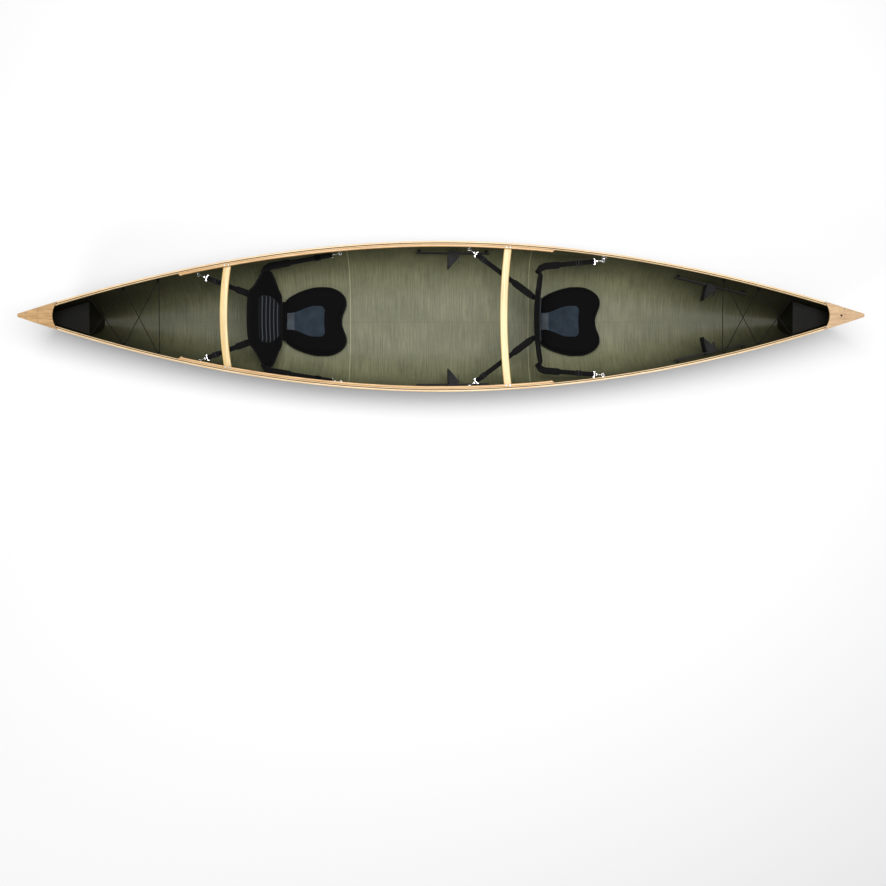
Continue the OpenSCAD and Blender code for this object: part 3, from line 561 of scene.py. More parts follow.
def fabric_material(name, light, dark, thread=0.0011, sheen=0.25, rough=0.86):
    """A plain woven cloth whose threads follow the object's own axes."""
    sh = Shader(name, Sheen_Weight=sheen, Sheen_Roughness=0.5, Roughness=rough, Specular_IOR_Level=0.11)
    where = sh.place()
    axes = sh.axes(where)
    across = sh.wave(sh.add(axes[0], sh.mul(axes[2], 0.9)), thread)
    along = sh.wave(sh.sub(axes[1], sh.mul(axes[2], 0.35)), thread)
    threads = sh.fit(sh.mul(across, along), 0.5, 0.5)
    wear = sh.noise(where, 14.0, 5.0, 0.6)
    fuzz = sh.noise(where, 420.0, 2.0)
    sh.tint(sh.mix(threads, dark, light), wear, (0.3, (0.7, 0.7, 0.7)), (0.72, (1.35, 1.35, 1.35)))
    sh.set("Roughness", sh.spread(wear, rough - 0.08, min(1.0, rough + 0.08)))
    sh.bump(sh.add(threads, sh.mul(fuzz, 0.7)), 0.0004, 0.7)
    return sh.material


def webbing_material(name, light, dark):
    """Flat webbing: u runs along the strap and v across it, both in metres."""
    sh = Shader(name, Sheen_Weight=0.02, Sheen_Roughness=0.4, Roughness=0.62, Specular_IOR_Level=0.13)
    axes = sh.axes(sh.place(uv=True))
    ribs = sh.wave(axes[0], 0.0022)
    rows = sh.math("SINE", sh.fit(axes[1], math.pi * 2 / 0.0030, sh.mul(ribs, 0.9)))
    height = sh.fit(sh.add(ribs, rows), 0.25, 0.5)
    sh.set("Base Color", sh.mix(height, dark, light))
    sh.set("Roughness", sh.spread(height, 0.85, 0.68))
    sh.bump(height, 0.0004, 0.8)
    return sh.material


KNIT = 0.0016                        # pitch of the panel's knitted mesh


def ribbed_panel_material(pitch):
    """Stretch panel of a backrest: v is the height up the panel in metres."""
    sh = Shader("ribbed_panel", Sheen_Weight=0.03, Roughness=0.8, Specular_IOR_Level=0.18)
    axes = sh.axes(sh.place(uv=True))
    wave = sh.fit(sh.wave(axes[1], pitch, "COSINE"), 0.5, 0.5)
    knit = sh.mul(sh.wave(axes[0], KNIT), sh.wave(axes[1], KNIT))
    mesh = sh.fit(knit, 0.5, 0.5)
    tone = sh.ramp(wave, [(0.0, srgb(10, 11, 13)), (0.80, srgb(20, 22, 26)), (0.95, srgb(74, 78, 84))])
    sh.set("Base Color", sh.mix(sh.spread(mesh, 0.35, 0.0), tone, srgb(6, 7, 8)))
    sh.set("Roughness", sh.spread(mesh, 0.9, 0.7))
    sh.bump(mesh, 0.0004, 0.7)
    return sh.material


def plastic_material(name, colour, rough=0.48):
    """Moulded plastic with a fine spark-eroded texture and rubbed patches."""
    sh = Shader(name, Specular_IOR_Level=0.2)
    where = sh.place()
    grain = sh.noise(where, 1500.0, 2.0)
    rub = sh.noise(where, 22.0, 4.0)
    sh.set("Base Color", sh.ramp(rub, [(0.3, times(colour, 0.8)), (0.75, times(colour, 1.5))]))
    sh.set("Roughness", sh.spread(rub, rough + 0.1, rough - 0.1))
    sh.bump(grain, 0.00012, 0.6)
    return sh.material


def metal_material(name, colour, rough, brushed):
    sh = Shader(name, Metallic=1.0)
    scale = (900, 30, 900) if brushed else (60, 60, 60)
    marks = sh.noise(sh.place(scale=scale), 1.0, 4.0)
    sh.set("Base Color", sh.ramp(marks, [(0.3, times(colour, 0.82)), (0.7, colour)]))
    sh.set("Roughness", sh.spread(marks, rough, rough + 0.14))
    sh.bump(marks, 0.00008, 0.4)
    return sh.material


def cord_material():
    """Braided cord: u along and v round it, in metres."""
    sh = Shader("cord_braid", Roughness=0.85, Specular_IOR_Level=0.12)
    axes = sh.axes(sh.place(uv=True))
    ways = sh.add(axes[0], axes[1]), sh.sub(axes[0], axes[1])
    plait = sh.math("MAXIMUM", *[sh.wave(way, 0.0024) for way in ways])
    braid = sh.fit(plait, 0.5, 0.5)
    sh.set("Base Color", sh.mix(braid, srgb(5, 5, 5), srgb(26, 25, 23)))
    sh.bump(braid, 0.0004, 0.8)
    return sh.material


HULL_OUT = hull_outer_material()
HULL_IN = hull_inner_material()
TANK = tank_material()
EDGE = edge_material()
ASH = wood_material("ash_rail", srgb(234, 206, 160), srgb(212, 174, 124))
ASH_DARK = wood_material("ash_golden", srgb(216, 176, 118), srgb(178, 130, 74))
ASH_DECK = wood_material("ash_deck", srgb(192, 154, 100), srgb(150, 108, 58))
ASH_CROSS = wood_material("ash_thwart", srgb(232, 208, 148), srgb(208, 172, 110), along="y")
BLACK_CLOTH = fabric_material("black_cloth", srgb(10, 10, 11), srgb(2, 2, 3), sheen=0.02)
PIPING = fabric_material("black_piping", srgb(26, 26, 28), srgb(9, 9, 10), 0.0009, 0.05)
SLATE_CLOTH = fabric_material("slate_cloth", srgb(50, 60, 70), srgb(30, 38, 46), 0.0013, 0.05)
SLATE_PALE = fabric_material("slate_pale", srgb(80, 86, 92), srgb(54, 60, 67), 0.0013, 0.08)
WEBBING = webbing_material("webbing", srgb(12, 12, 13), srgb(3, 3, 4))
RIB_PITCH = 0.034
RIBBED = ribbed_panel_material(RIB_PITCH)
BLACK_PLASTIC = plastic_material("black_plastic", srgb(9, 9, 10), 0.56)
GREY_PLASTIC = plastic_material("grey_plastic", srgb(30, 30, 33))
RUBBER = plastic_material("rubber_grip", srgb(13, 13, 14), 0.75)
CHROME = metal_material("chrome_metal", (0.82, 0.82, 0.84), 0.08, False)
STEEL = metal_material("stainless_steel", (0.46, 0.45, 0.42), 0.30, True)
CORD = cord_material()


# ---- Hull ------
def hull_stations():
    half = [STEM_START * i / 100 for i in range(1, 101)]
    half += [STEM_START + STEM_LEN * math.sin(math.pi / 2 * i / 36) ** (2 / STEM_POWER)
             for i in range(1, 37)]
    half = ([x for x in half if x < DECK_X - 0.003] + [DECK_X - 0.0005, DECK_X + 0.0005]
            + [x for x in half if x > DECK_X + 0.003])
    return [-x for x in reversed(half)] + [0.0] + half


def hull_section(x, inner, top, steps=44):
    """Points from the port rim to the keel and up to the starboard rim, with the way round."""
    n = section_n(x)
    deep = sheer_z(x) - keel_z(x, inner)
    half = [(skin_y(x, top, inner), top)]
    start = math.asin(min(0.97, RAIL_H / deep) ** (n / 2))
    for j in range(steps + 1):
        a = start + (math.pi / 2 - start) * j / steps
        wide = max(0, math.cos(a)) ** (2 / n)
        half.append((keel_half(x, inner) + (hull_half(x, inner) - keel_half(x, inner)) * wide,
                     sheer_z(x) - deep * math.sin(a) ** (2 / n)))
    keel = [(keel_half(x, inner) * s / 2, half[-1][1]) for s in (1, 0, -1)]
    row = half + keel + [(-y, z) for y, z in reversed(half)]
    way = [0.0]
    for p, q in zip(row, row[1:]):
        way.append(way[-1] + math.hypot(q[0] - p[0], q[1] - p[1]))
    middle = way[len(row) // 2]
    return [(x, y, z) for y, z in row], [w - middle for w in way]


def make_hull():
    xs = hull_stations()
    verts, uvs, faces, slots = [], [], [], []

    def add_skin(inner, flip, slot):
        start = len(verts)
        for x in xs:
            at, top = x, rim_z(x)
            if inner and abs(x) > STEM_START:
                share = (STEM_LEN - STEM_WALL) / STEM_LEN
                at = math.copysign(STEM_START + (abs(x) - STEM_START) * share, x)
                top = rim_z(x) - (sheer_z(x) - sheer_z(at))
            points, way = hull_section(at, inner, top)
            verts.extend(points)
            # The cloth outside hangs from the rims; the cloth inside is laid from the keel
            uvs.extend((x, w if inner else way[-1] - abs(w)) for w in way)
        cols = (len(verts) - start) // len(xs)
        quads = grid_faces(len(xs), cols, start, flip)
        faces.extend(quads)
        slots.extend([slot] * len(quads))
        return start, cols

    outer, cols = add_skin(0, False, 0)
    inner, _ = add_skin(1, True, 1)
    # Rim and end caps have their own points, so their edges stay crisp
    for side in (0, cols - 1):
        start = len(verts)
        for k in range(len(xs)):
            for base in (outer, inner):
                verts.append(verts[base + k * cols + side])
                uvs.append(uvs[base + k * cols + side])
        quads = grid_faces(len(xs), 2, start, side == 0)
        faces.extend(quads)
        slots.extend([2] * len(quads))
    for k in (0, len(xs) - 1):
        start = len(verts)
        for base in (outer, inner):
            for i in range(cols):
                verts.append(verts[base + k * cols + i])
                uvs.append(uvs[base + k * cols + i])
        first = list(range(start, start + cols))
        second = list(range(start + cols, start + 2 * cols))
        faces += [first, second[::-1], [first[0], first[-1], second[-1], second[0]]]
        slots += [0, 1, 2]
    hull = mesh_object("hull_visual", verts, faces, [HULL_OUT, HULL_IN, EDGE], uvs, slots)
    cut_painter_hole(hull)
    settle(hull, "root", "hull_shell")


def cut_painter_hole(hull):
    """Opens the stem round the painter tube."""
    lo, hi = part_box("painter_tube")
    centre = (lo + hi) / 2
    radius = (hi.x - lo.x) / 2 - 0.0004
    with editing(hull) as bm:
        doomed = [face for face in bm.faces
                  if (face.calc_center_median() - centre).xz.length < radius * 0.55]
        bmesh.ops.delete(bm, geom=doomed, context="FACES")


# ---- Rails and thwarts ------
def rail(name, node, a, b, outer, inner, side, material, mitre=0.0):
    """A rail along one sheer; outer and inner are distances from the outer skin, or the outline."""
    steps = max(24, int((b - a) / 0.025))
    xs = [a + (b - a) * k / steps for k in range(steps + 1)]
    for end in (-DECK_X, DECK_X):
        if a < end < b:
            xs += [end - 0.0006, end + 0.0006]
    xs.sort()
    rings = []
    for x in xs:
        top, low = rim_z(x), sheer_z(x) - RAIL_H
        out = rail_half(x) if outer is None else skin_y(x, top, 0) + outer
        width = out - (skin_y(x, top, 0) + inner)
        lean = 0 if outer is None else skin_y(x, top, 0) - skin_y(x, low, 0)
        # The ends of a mitred rail are cut back on their inner side
        cut = mitre * (1 if x == a else -1 if x == b else 0)
        ring = []
        for p, q in rounded_ring(width, top - low, 0.0022):
            share = 0.5 - p / width
            z = (top + low) / 2 + q
            fall = lean * (top - z) / (top - low)
            ring.append((x + cut * share, side * (out - width / 2 + p - fall), z))
        rings.append(ring)
    obj = sweep(name, rings, material)
    smooth_by_angle(obj, 50)
    settle(obj, "root", node)


INWALE_PAST = 0.07                   # how far the inwales run on under the decks
MITRE = 0.018                        # how far the doublers' ends are cut back
THWART_W = 0.044


def make_rails():
    inwale_out = -SKIN - GAP
    inwale_in = inwale_out - INWALE_W
    doubler_out = inwale_in - GAP
    doubler_in = doubler_out - DOUBLER_W
    for side, word in ((1, "port"), (-1, "stbd")):
        rail("outwale_strip_" + word, "outwale_" + word, -HULL_END, HULL_END, None, GAP,
             side, ASH)
        reach = DECK_X + INWALE_PAST
        rail("inwale_strip_" + word, "inwale_" + word, -reach, reach, inwale_out, inwale_in,
             side, ASH)
        lo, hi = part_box("doubler_" + word)
        rail("doubler_strip_" + word, "doubler_" + word, lo.x, hi.x, doubler_out, doubler_in,
             side, ASH_DARK, MITRE)


def make_thwart(node):
    lo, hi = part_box(node)
    half = hi.y
    bow = hi.x - lo.x - THWART_W
    radius = (half * half + bow * bow) / (2 * bow)
    rings = []
    steps = 48
    for k in range(steps + 1):
        y = half * across_span(k, steps)
        x = lo.x + THWART_W / 2 + radius - math.sqrt(radius * radius - y * y)
        slope = math.asin(y / radius)
        across = Vector((math.cos(slope), -math.sin(slope), 0))
        end = 0.0015 if k in (0, steps) else 0
        ring = []
        for p, q in rounded_ring(THWART_W - 2 * end, hi.z - lo.z - 2 * end, 0.006, 5):
            ring.append(Vector((x, y, (hi.z + lo.z) / 2 + q)) + across * p)
        rings.append(ring)
    obj = sweep(node + "_plank", rings, ASH_CROSS)
    smooth_by_angle(obj, 50)
    settle(obj, "root", node)


# ---- CAD nodes that keep their shape ------
def finish_node(node, material, bevel=0.0, angle=40):
    obj = NODES[node]
    obj.data.materials.clear()
    obj.data.materials.append(material)
    weld = obj.modifiers.new("weld", "WELD")
    weld.merge_threshold = 0.00001
    if bevel:
        soften = obj.modifiers.new("bevel", "BEVEL")
        soften.width = bevel
        soften.segments = 3
        soften.limit_method = "ANGLE"
        soften.angle_limit = math.radians(angle)


def finish_nodes():
    for node in ("bow_deck", "stern_deck"):
        finish_node(node, ASH_DECK, 0.0018, 50)
    for node in ("bow_bulkhead", "stern_bulkhead", "bow_float", "stern_float"):
        finish_node(node, TANK, 0.001)
    for node in ("deck_screws", "thwart_bolts"):
        finish_node(node, STEEL, 0.0003)
    for node in ("painter_tube", "lacing_eyes"):
        finish_node(node, BLACK_PLASTIC)
    finish_node("strap_buckles", BLACK_PLASTIC, 0.0008)
    finish_node("strap_eyes", CHROME, 0.0004)
    finish_node("snap_hooks", CHROME)
    for k in range(1, 9):
        finish_node("hook_gate_%d" % k, CHROME, 0.0003)
    for k in range(1, 5):
        finish_node("brace_rail_%d" % k, BLACK_PLASTIC, 0.0012)
        finish_node("pedal_%d" % k, BLACK_PLASTIC, 0.0010)
        finish_node("pedal_lock_%d" % k, GREY_PLASTIC, 0.0008)


# ---- Padded pieces ------
CAD_INSERT_BACK = 0.022              # from a pad's rear edge to its insert in the CAD model
SEATS = {end: {"rear_x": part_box(end + "_seat_insert")[0].x - CAD_INSERT_BACK,
               "recline": math.radians(lean)} for end, lean in (("stern", 33), ("bow", 6))}
PAD_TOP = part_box("stern_seat_pad")[1].z
PAD_W = 0.436
PAD_LEN = 0.380
CHEEK = 0.6                          # share of a pad's length at which it is widest
FLAT = 0.27                          # share of its width from the middle to where its ends turn
HINGE_BACK = 0.008
HINGE_UP = 0.018
BACK_W = 0.582
BACK_H = 0.315
BACK_WRAP = 0.028
PANEL_LOW, PANEL_HIGH = 0.10, 0.72   # shares of a backrest's height that its ribbed panel spans
PANEL_WIDE = 0.48                    # share of its width
BAND_WING, BAND_NAPE = 0.53, 0.79    # shares of its height where the webbing is sewn on
WEB_W = 0.028
WEB_T = 0.0022
VOXEL = 0.0055
CLOTH_FRAMES = 20


def remesh(obj, size):
    mod = obj.modifiers.new("remesh", "REMESH")
    mod.mode = "VOXEL"
    mod.voxel_size = size
    mod.use_smooth_shade = True
    apply_modifiers(obj)


def inflate(obj, cap, pressure=4.0):
    """Blows the piece up as cloth; no point moves further than cap."""
    remesh(obj, VOXEL)
    rest = [v.co.copy() for v in obj.data.vertices]
    cloth = obj.modifiers.new("cloth", "CLOTH")
    cloth.settings.quality = 5
    cloth.settings.use_pressure = True
    cloth.settings.uniform_pressure_force = pressure
    cloth.settings.effector_weights.gravity = 0
    cloth.point_cache.frame_start = 1
    cloth.point_cache.frame_end = CLOTH_FRAMES
    for at in range(1, CLOTH_FRAMES + 1):
        bpy.context.scene.frame_set(at)
    apply_modifiers(obj)
    bpy.context.scene.frame_set(1)
    for v, start in zip(obj.data.vertices, rest):
        moved = v.co - start
        if moved.length > cap:
            v.co = start + moved * (cap / moved.length)
    smooth = obj.modifiers.new("smooth", "SMOOTH")
    smooth.factor = 0.5
    smooth.iterations = 4
    divide = obj.modifiers.new("divide", "SUBSURF")
    divide.levels = divide.render_levels = 1
    apply_modifiers(obj)
    for poly in obj.data.polygons:
        poly.use_smooth = True


def closed_slab(name, front, back, rows, cols, material, uvs=None):
    """A closed form between two grids of rows by cols points."""
    n = rows * cols
    faces = grid_faces(rows, cols) + grid_faces(rows, cols, n, True)
    rim = list(range(cols)) + [i * cols + cols - 1 for i in range(1, rows)]
    rim += [(rows - 1) * cols + j for j in range(cols - 2, -1, -1)]
    rim += [i * cols for i in range(rows - 2, 0, -1)]
    for k, a in enumerate(rim):
        b = rim[(k + 1) % len(rim)]
        faces.append([a, n + a, n + b, b])
    obj = mesh_object(name, front + back, faces, [material], uvs and uvs * 2)
    fix_normals(obj)
    return obj


def tree_of(obj):
    mesh = obj.data
    return BVHTree.FromPolygons([v.co for v in mesh.vertices], [p.vertices for p in mesh.polygons])


def surface(tree, y, z, way, missed):
    """x of the surface that a ray along way, +1 or -1 in x, meets at y, z."""
    hit = tree.ray_cast(Vector((-0.2 * way, y, z)), Vector((way, 0, 0)))[0]
    return hit.x if hit else missed


def closed_tube(name, points, radius, material, sides=8):
    """A closed loop of tube through points, with u along it and v round it."""
    n = len(points)
    verts, uvs = [], []
    along = 0
    for k in range(n + 1):
        p, ahead, before = points[k % n], points[(k + 1) % n], points[(k - 1) % n]
        way = (ahead - before).normalized()
        side = way.cross(Vector((0, 0, 1)))
        side = side.normalized() if side.length > 0.2 else way.cross(Vector((1, 0, 0))).normalized()
        up = side.cross(way)
        along += (p - before).length if k else 0
        for s in range(sides + 1):
            a = 2 * math.pi * s / sides
            verts.append(p + side * radius * math.cos(a) + up * radius * math.sin(a))
            uvs.append((along, radius * a))
    obj = mesh_object(name, verts, grid_faces(n + 1, sides + 1), [material], uvs)
    fix_normals(obj, weld=True)
    return obj


# ---- Seat pads ------
def pad_rear(s):
    t = max(0, (abs(s) / 2 - FLAT) / (0.5 - FLAT))
    return PAD_LEN * CHEEK * (1 - max(0, 1 - t ** 1.5) ** (1 / 1.5))


def pad_front(s):
    y = abs(s) / 2
    if y < FLAT:
        return PAD_LEN - 0.026 * math.cos(math.pi / 2 * y / FLAT) ** 2
    t = (y - FLAT) / (0.5 - FLAT)
    return PAD_LEN * CHEEK + PAD_LEN * (1 - CHEEK) * math.sqrt(max(0, 1 - t * t))


def pad_spot(s, r, shrink=0.0):
    """A point in plan: s from -1 to 1 across, r from 0 at the rear to 1 at the front."""
    lo, hi = pad_rear(s) + shrink, pad_front(s) - shrink
    return lo + (hi - lo) * r, s * (PAD_W / 2 - shrink)


INSERT_BACK = 0.012
INSERT_FRONT = 0.254


def insert_half(x):
    """Half-width of the grey insert at a distance from the rear of the pad."""
    t = min(1, max(0, (x - INSERT_BACK) / (INSERT_FRONT - INSERT_BACK)))
    flare = smooth_step((t - 0.10) / 0.62)
    wide = 0.052 + 0.044 * flare
    return wide * (1 - 0.30 * max(0, (t - 0.86) / 0.14) ** 2.4)


def front_bow(y):
    return 0.007 * math.cos(math.pi / 2 * min(1, abs(y) / 0.09))


def insert_depth(x, y):
    """How far a point lies inside the insert's outline; negative outside it."""
    return min(insert_half(x) - abs(y), x - INSERT_BACK, INSERT_FRONT - front_bow(y) - x)


def make_pad(end):
    rear_x = SEATS[end]["rear_x"]
    rows, cols = 37, 31
    top, low = [], []
    for i in range(rows):
        s = 0.985 * eased_span(i, rows - 1)
        for j in range(cols):
            r = j / (cols - 1)
            x, y = pad_spot(s, r, -0.006)
            rim = min(1, 8 * min(r, 1 - r, (1 - abs(s)) * 1.5))
            top.append((rear_x + x, y, PAD_TOP - 0.010 - 0.006 * (1 - rim)))
            low.append((rear_x + x, y, floor_z(rear_x + x, y) + 0.007))
    pad = closed_slab(end + "_pad_cover", top, low, rows, cols, BLACK_CLOTH)
    inflate(pad, 0.010)
    for v in pad.data.vertices:
        v.co.z = max(v.co.z, floor_z(v.co.x, v.co.y) + 0.0015)
        if v.co.z < PAD_TOP - 0.025:
            continue
        inside = insert_depth(v.co.x - rear_x, v.co.y)
        sunk = 0.0045 * min(1, max(0, inside / 0.012 + 0.2))
        v.co.z = min(v.co.z, PAD_TOP + 0.004) - sunk - 0.0035 * sewn(inside, 0.004)
        # A channel half-way between the insert and the edge
        v.co.z -= 0.0022 * sewn(inside + 0.045, 0.003)
    settle(pad, "root", end + "_seat_pad")
    tree = tree_of(pad)
    make_insert(end, rear_x, tree)
    # Piping round the upper and the lower edge of the side band
    for word, z, out in (("upper", PAD_TOP - 0.010, 0.0006), ("lower", PAD_TOP - 0.034, 0.0004)):
        points = []
        for k in range(220):
            a = 2 * math.pi * k / 220
            side = max(-1, min(1, math.sin(a) * 1.02))
            x = rear_x + (pad_front(side) if math.cos(a) > 0 else pad_rear(side))
            y = side * PAD_W / 2
            hit, normal, _, _ = tree.find_nearest(Vector((x, y, max(z, floor_z(x, y) + 0.006))))
            points.append(hit + normal * out)
        points = even_loop(points, 0.006)
        piping = closed_tube("%s_pad_piping_%s" % (end, word), points, 0.0021, PIPING)
        settle(piping, "root")


def even_loop(points, step):
    """A closed loop through the same places with even steps, lightly smoothed."""
    loop = points + [points[0]]
    total = sum((b - a).length for a, b in zip(loop, loop[1:]))
    count = int(total / step)
    out, k, done = [], 0, 0.0
    for i in range(count):
        want = total * i / count
        while k < len(loop) - 2 and done + (loop[k + 1] - loop[k]).length < want:
            done += (loop[k + 1] - loop[k]).length
            k += 1
        span = (loop[k + 1] - loop[k]).length
        out.append(loop[k].lerp(loop[k + 1], (want - done) / span if span else 0))
    for _ in range(3):
        out = [(out[i - 1] + out[i] * 2 + out[(i + 1) % count]) / 4 for i in range(count)]
    return out


def make_insert(end, rear_x, tree):
    rows, cols = 44, 34
    verts, low = [], []
    for i in range(rows):
        x = INSERT_BACK + 0.001 + (INSERT_FRONT - INSERT_BACK - 0.002) * i / (rows - 1)
        for j in range(cols):
            y = insert_half(x) * 0.985 * eased_span(j, cols - 1)
            bow = front_bow(y) * (i / (rows - 1)) ** 6
            at = Vector((rear_x + x - bow, y, 0.2))
            hit, _, _, _ = tree.ray_cast(at, Vector((0, 0, -1)))
            z = hit.z if hit else PAD_TOP - 0.006
            rise = 0.0030 * min(1, max(0, insert_depth(x - bow, y) / 0.009)) ** 0.5
            verts.append((at.x, y, z + rise + 0.0002))
            low.append((at.x, y, z - 0.003))
    patch = closed_slab(end + "_insert_cover", verts, low, rows, cols, SLATE_CLOTH)
    patch.data.materials.append(SLATE_PALE)
    for poly in patch.data.polygons:
        if poly.center.x < rear_x + 0.066:
            poly.material_index = 1
    settle(patch, "root", end + "_seat_insert")


# ---- Backrests ------
def back_half(t):
    half = BACK_W / 2
    if t < 0.46:
        return half * (0.5 + 0.5 * math.sin(math.pi / 2 * max(0, t) / 0.46) ** 1.4)
    if t < 0.60:
        return half
    return half * (1 - 0.44 * math.sin(math.pi / 2 * (t - 0.60) / 0.40) ** 1.5)


def back_wrap(y):
    return BACK_WRAP * (2 * y / BACK_W) ** 2


def back_matrix(end):
    seat = SEATS[end]
    return (Matrix.Translation((seat["rear_x"] - HINGE_BACK, 0, PAD_TOP + HINGE_UP))
            @ Matrix.Rotation(-seat["recline"], 4, "Y"))


def on_back(obj, end, node=None):
    obj.matrix_world = back_matrix(end)
    settle(obj, end + "_back", node)


def make_back(end):
    rows, cols = 45, 29
    front, rear = [], []
    for i in range(rows):
        q = eased_span(i, rows - 1)
        for j in range(cols):
            t = 0.012 + 0.975 * j / (cols - 1)
            y = q * (back_half(t) + 0.006)
            rim = min(1, 5 * min(1 - abs(q), t, 1 - t))
            thick = 0.0025 + 0.0040 * rim
            front.append((back_wrap(y) + thick, y, BACK_H * t))
            rear.append((back_wrap(y) - thick, y, BACK_H * t))
    back = closed_slab(end + "_back_cover", front, rear, rows, cols, BLACK_CLOTH)
    inflate(back, 0.008)
    for v in back.data.vertices:
        t = v.co.z / BACK_H
        edge = PANEL_WIDE * back_half(t) - abs(v.co.y)
        inside = min(edge, v.co.z - PANEL_LOW * BACK_H, PANEL_HIGH * BACK_H - v.co.z)
        if v.co.x > back_wrap(v.co.y):
            # Lines round the panel, and between the wings and the middle
            v.co.x -= 0.003 * sewn(inside, 0.004)
            v.co.x -= 0.0025 * sewn(edge + 0.050, 0.003)
        # A line below the roll, on both faces
        inward = -1 if v.co.x > back_wrap(v.co.y) else 1
        v.co.x += inward * 0.0022 * sewn(t - 0.885, 0.010)
    on_back(back, end, end + "_backrest")
    tree = tree_of(back)
    make_panel(end, tree)
    make_back_trim(end, tree)


def make_panel(end, tree):
    rows, cols = 97, 41
    front, rear, uvs = [], [], []
    for i in range(rows):
        t = PANEL_LOW + (PANEL_HIGH - PANEL_LOW) * i / (rows - 1)
        z = BACK_H * t
        high = z - PANEL_LOW * BACK_H
        for j in range(cols):
            q = across_span(j, cols - 1)
            y = PANEL_WIDE * back_half(t) * q
            x = surface(tree, y, z, -1, back_wrap(y) + 0.008)
            edge = min(1, 7 * (1 - abs(q)), 30 * min(i, rows - 1 - i) / rows)
            rib = max(0, math.cos(2 * math.pi * high / RIB_PITCH)) ** 3
            front.append((x + 0.0006 + edge * (0.0012 + 0.0052 * rib), y, z))
            rear.append((x - 0.003, y, z))
            uvs.append((y, high))
    panel = closed_slab(end + "_ribbed_panel", front, rear, rows, cols, RIBBED, uvs)
    on_back(panel, end, end + "_back_panel")


def make_back_trim(end, tree):
    # Bound edge all the way round
    points = []
    for k in range(120):
        t = 0.03 + 0.955 * k / 119
        points.append(Vector((back_wrap(back_half(t)), back_half(t), BACK_H * t)))
    top = [Vector((back_wrap(y), y, BACK_H * 0.988)) for y in
           [-back_half(0.985) * across_span(k, 60) for k in range(1, 60)]]
    low = [Vector((back_wrap(y), y, BACK_H * 0.028)) for y in
           [back_half(0.03) * across_span(k, 40) for k in range(1, 40)]]
    loop = points + top + [Vector((p.x, -p.y, p.z)) for p in reversed(points)] + low
    hugged = []
    for p in loop:
        hit, normal, _, _ = tree.find_nearest(p)
        hugged.append(hit + normal * 0.0004)
    binding = closed_tube(end + "_back_binding", even_loop(hugged, 0.006), 0.0036, PIPING)
    on_back(binding, end)
    # Roll along the top edge
    points = []
    for k in range(41):
        y = back_half(0.96) * 0.97 * across_span(k, 40)
        points.append((back_wrap(y) + 0.001, y, BACK_H * 0.955 - 0.010 * (2 * y / BACK_W) ** 2))
    rings = tube_rings(points, lambda s: 0.0105 * (1 - 0.75 * abs(2 * s - 1) ** 6), 16)
    roll = sweep(end + "_back_roll", rings, BLACK_CLOTH)
    on_back(roll, end)
    # Webbing sewn across the rear, from wing to wing
    for word, t, reach in (("wing", BAND_WING, 0.985), ("nape", BAND_NAPE, 0.80)):
        rings = []
        for k in range(61):
            y = back_half(t) * reach * across_span(k, 60)
            ring = []
            for a, b in rounded_ring(WEB_T, WEB_W, 0.0008, 2):
                z = BACK_H * t + b
                x = surface(tree, y, z, 1, back_wrap(y) - 0.008) - 0.0004
                ring.append((x + a, y, z))
            rings.append(ring)
        band = sweep("%s_back_band_%s" % (end, word), rings, WEBBING)
        on_back(band, end)
    stitches(end, tree)


def stitches(end, tree):
    """Bar tacks of thread where the webbing is sewn to the rear of the backrest."""
    verts, faces = [], []
    for t, places in ((BAND_WING, (-0.27, -0.24, 0.24, 0.27)), (BAND_NAPE, (-0.15, -0.12, 0.12, 0.15))):
        for y0 in places:
            for k in range(9):
                z = BACK_H * t - 0.012 + 0.003 * k
                x = surface(tree, y0, z, 1, None)
                if x is None:
                    continue
                x -= 0.0018
                start = len(verts)
                for dy in (-0.0030, 0, 0.0030):
                    for dx, dz in ((0, 0.0006), (-0.0008, 0), (0, -0.0006), (0.0008, 0)):
                        thin = 0.3 if dy else 1
                        verts.append((x + dx * thin, y0 + dy, z + dz * thin + dy * 0.25))
                for i in range(2):
                    for j in range(4):
                        a, b = start + i * 4 + j, start + i * 4 + (j + 1) % 4
                        faces.append([a, b, b + 4, a + 4])
                faces += [[start + 3, start + 2, start + 1, start], [start + 8 + j for j in range(4)]]
    tacks = mesh_object(end + "_bar_tacks", verts, faces, [PIPING])
    fix_normals(tacks)
    on_back(tacks, end)


def make_hinge_flap(end):
    """Cloth that joins the pad's rear edge to the foot of the backrest."""
    matrix = back_matrix(end)
    rear_x = SEATS[end]["rear_x"]
    half = 0.118
    line = [Vector((rear_x + 0.022, 0, PAD_TOP - 0.012)), Vector((rear_x + 0.004, 0, PAD_TOP - 0.010)),
            Vector((rear_x - 0.006, 0, PAD_TOP + 0.004)), matrix @ Vector((0.002, 0, 0.004)),
            matrix @ Vector((0.001, 0, 0.022)), matrix @ Vector((0.001, 0, 0.045))]
    line = curve_points(line, 6)
    rings = []
    for k, p in enumerate(line):
        way = direction(line, k)
        out = Vector((-way.z, 0, way.x))
        ring = [p + out * a + Vector((0, b, 0)) for a, b in rounded_ring(0.0034, 2 * half, 0.0016, 3)]
        rings.append(ring)
    flap = sweep(end + "_hinge_flap", rings, BLACK_CLOTH)
    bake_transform(flap)


# ---- Straps ------
EYE_Z = 0.300
EYE_STAND = 0.0152
BAR = 0.053                          # from an eye's centre to the bar that the webbing loops round


def wing_end(end, up):
    return back_matrix(end) @ Vector((BACK_WRAP, BACK_W / 2 + WEB_W / 2 + 0.004, BACK_H * up))


def nape_end(end, up, y):
    return back_matrix(end) @ Vector((back_wrap(y) - 0.017, y, BACK_H * up))


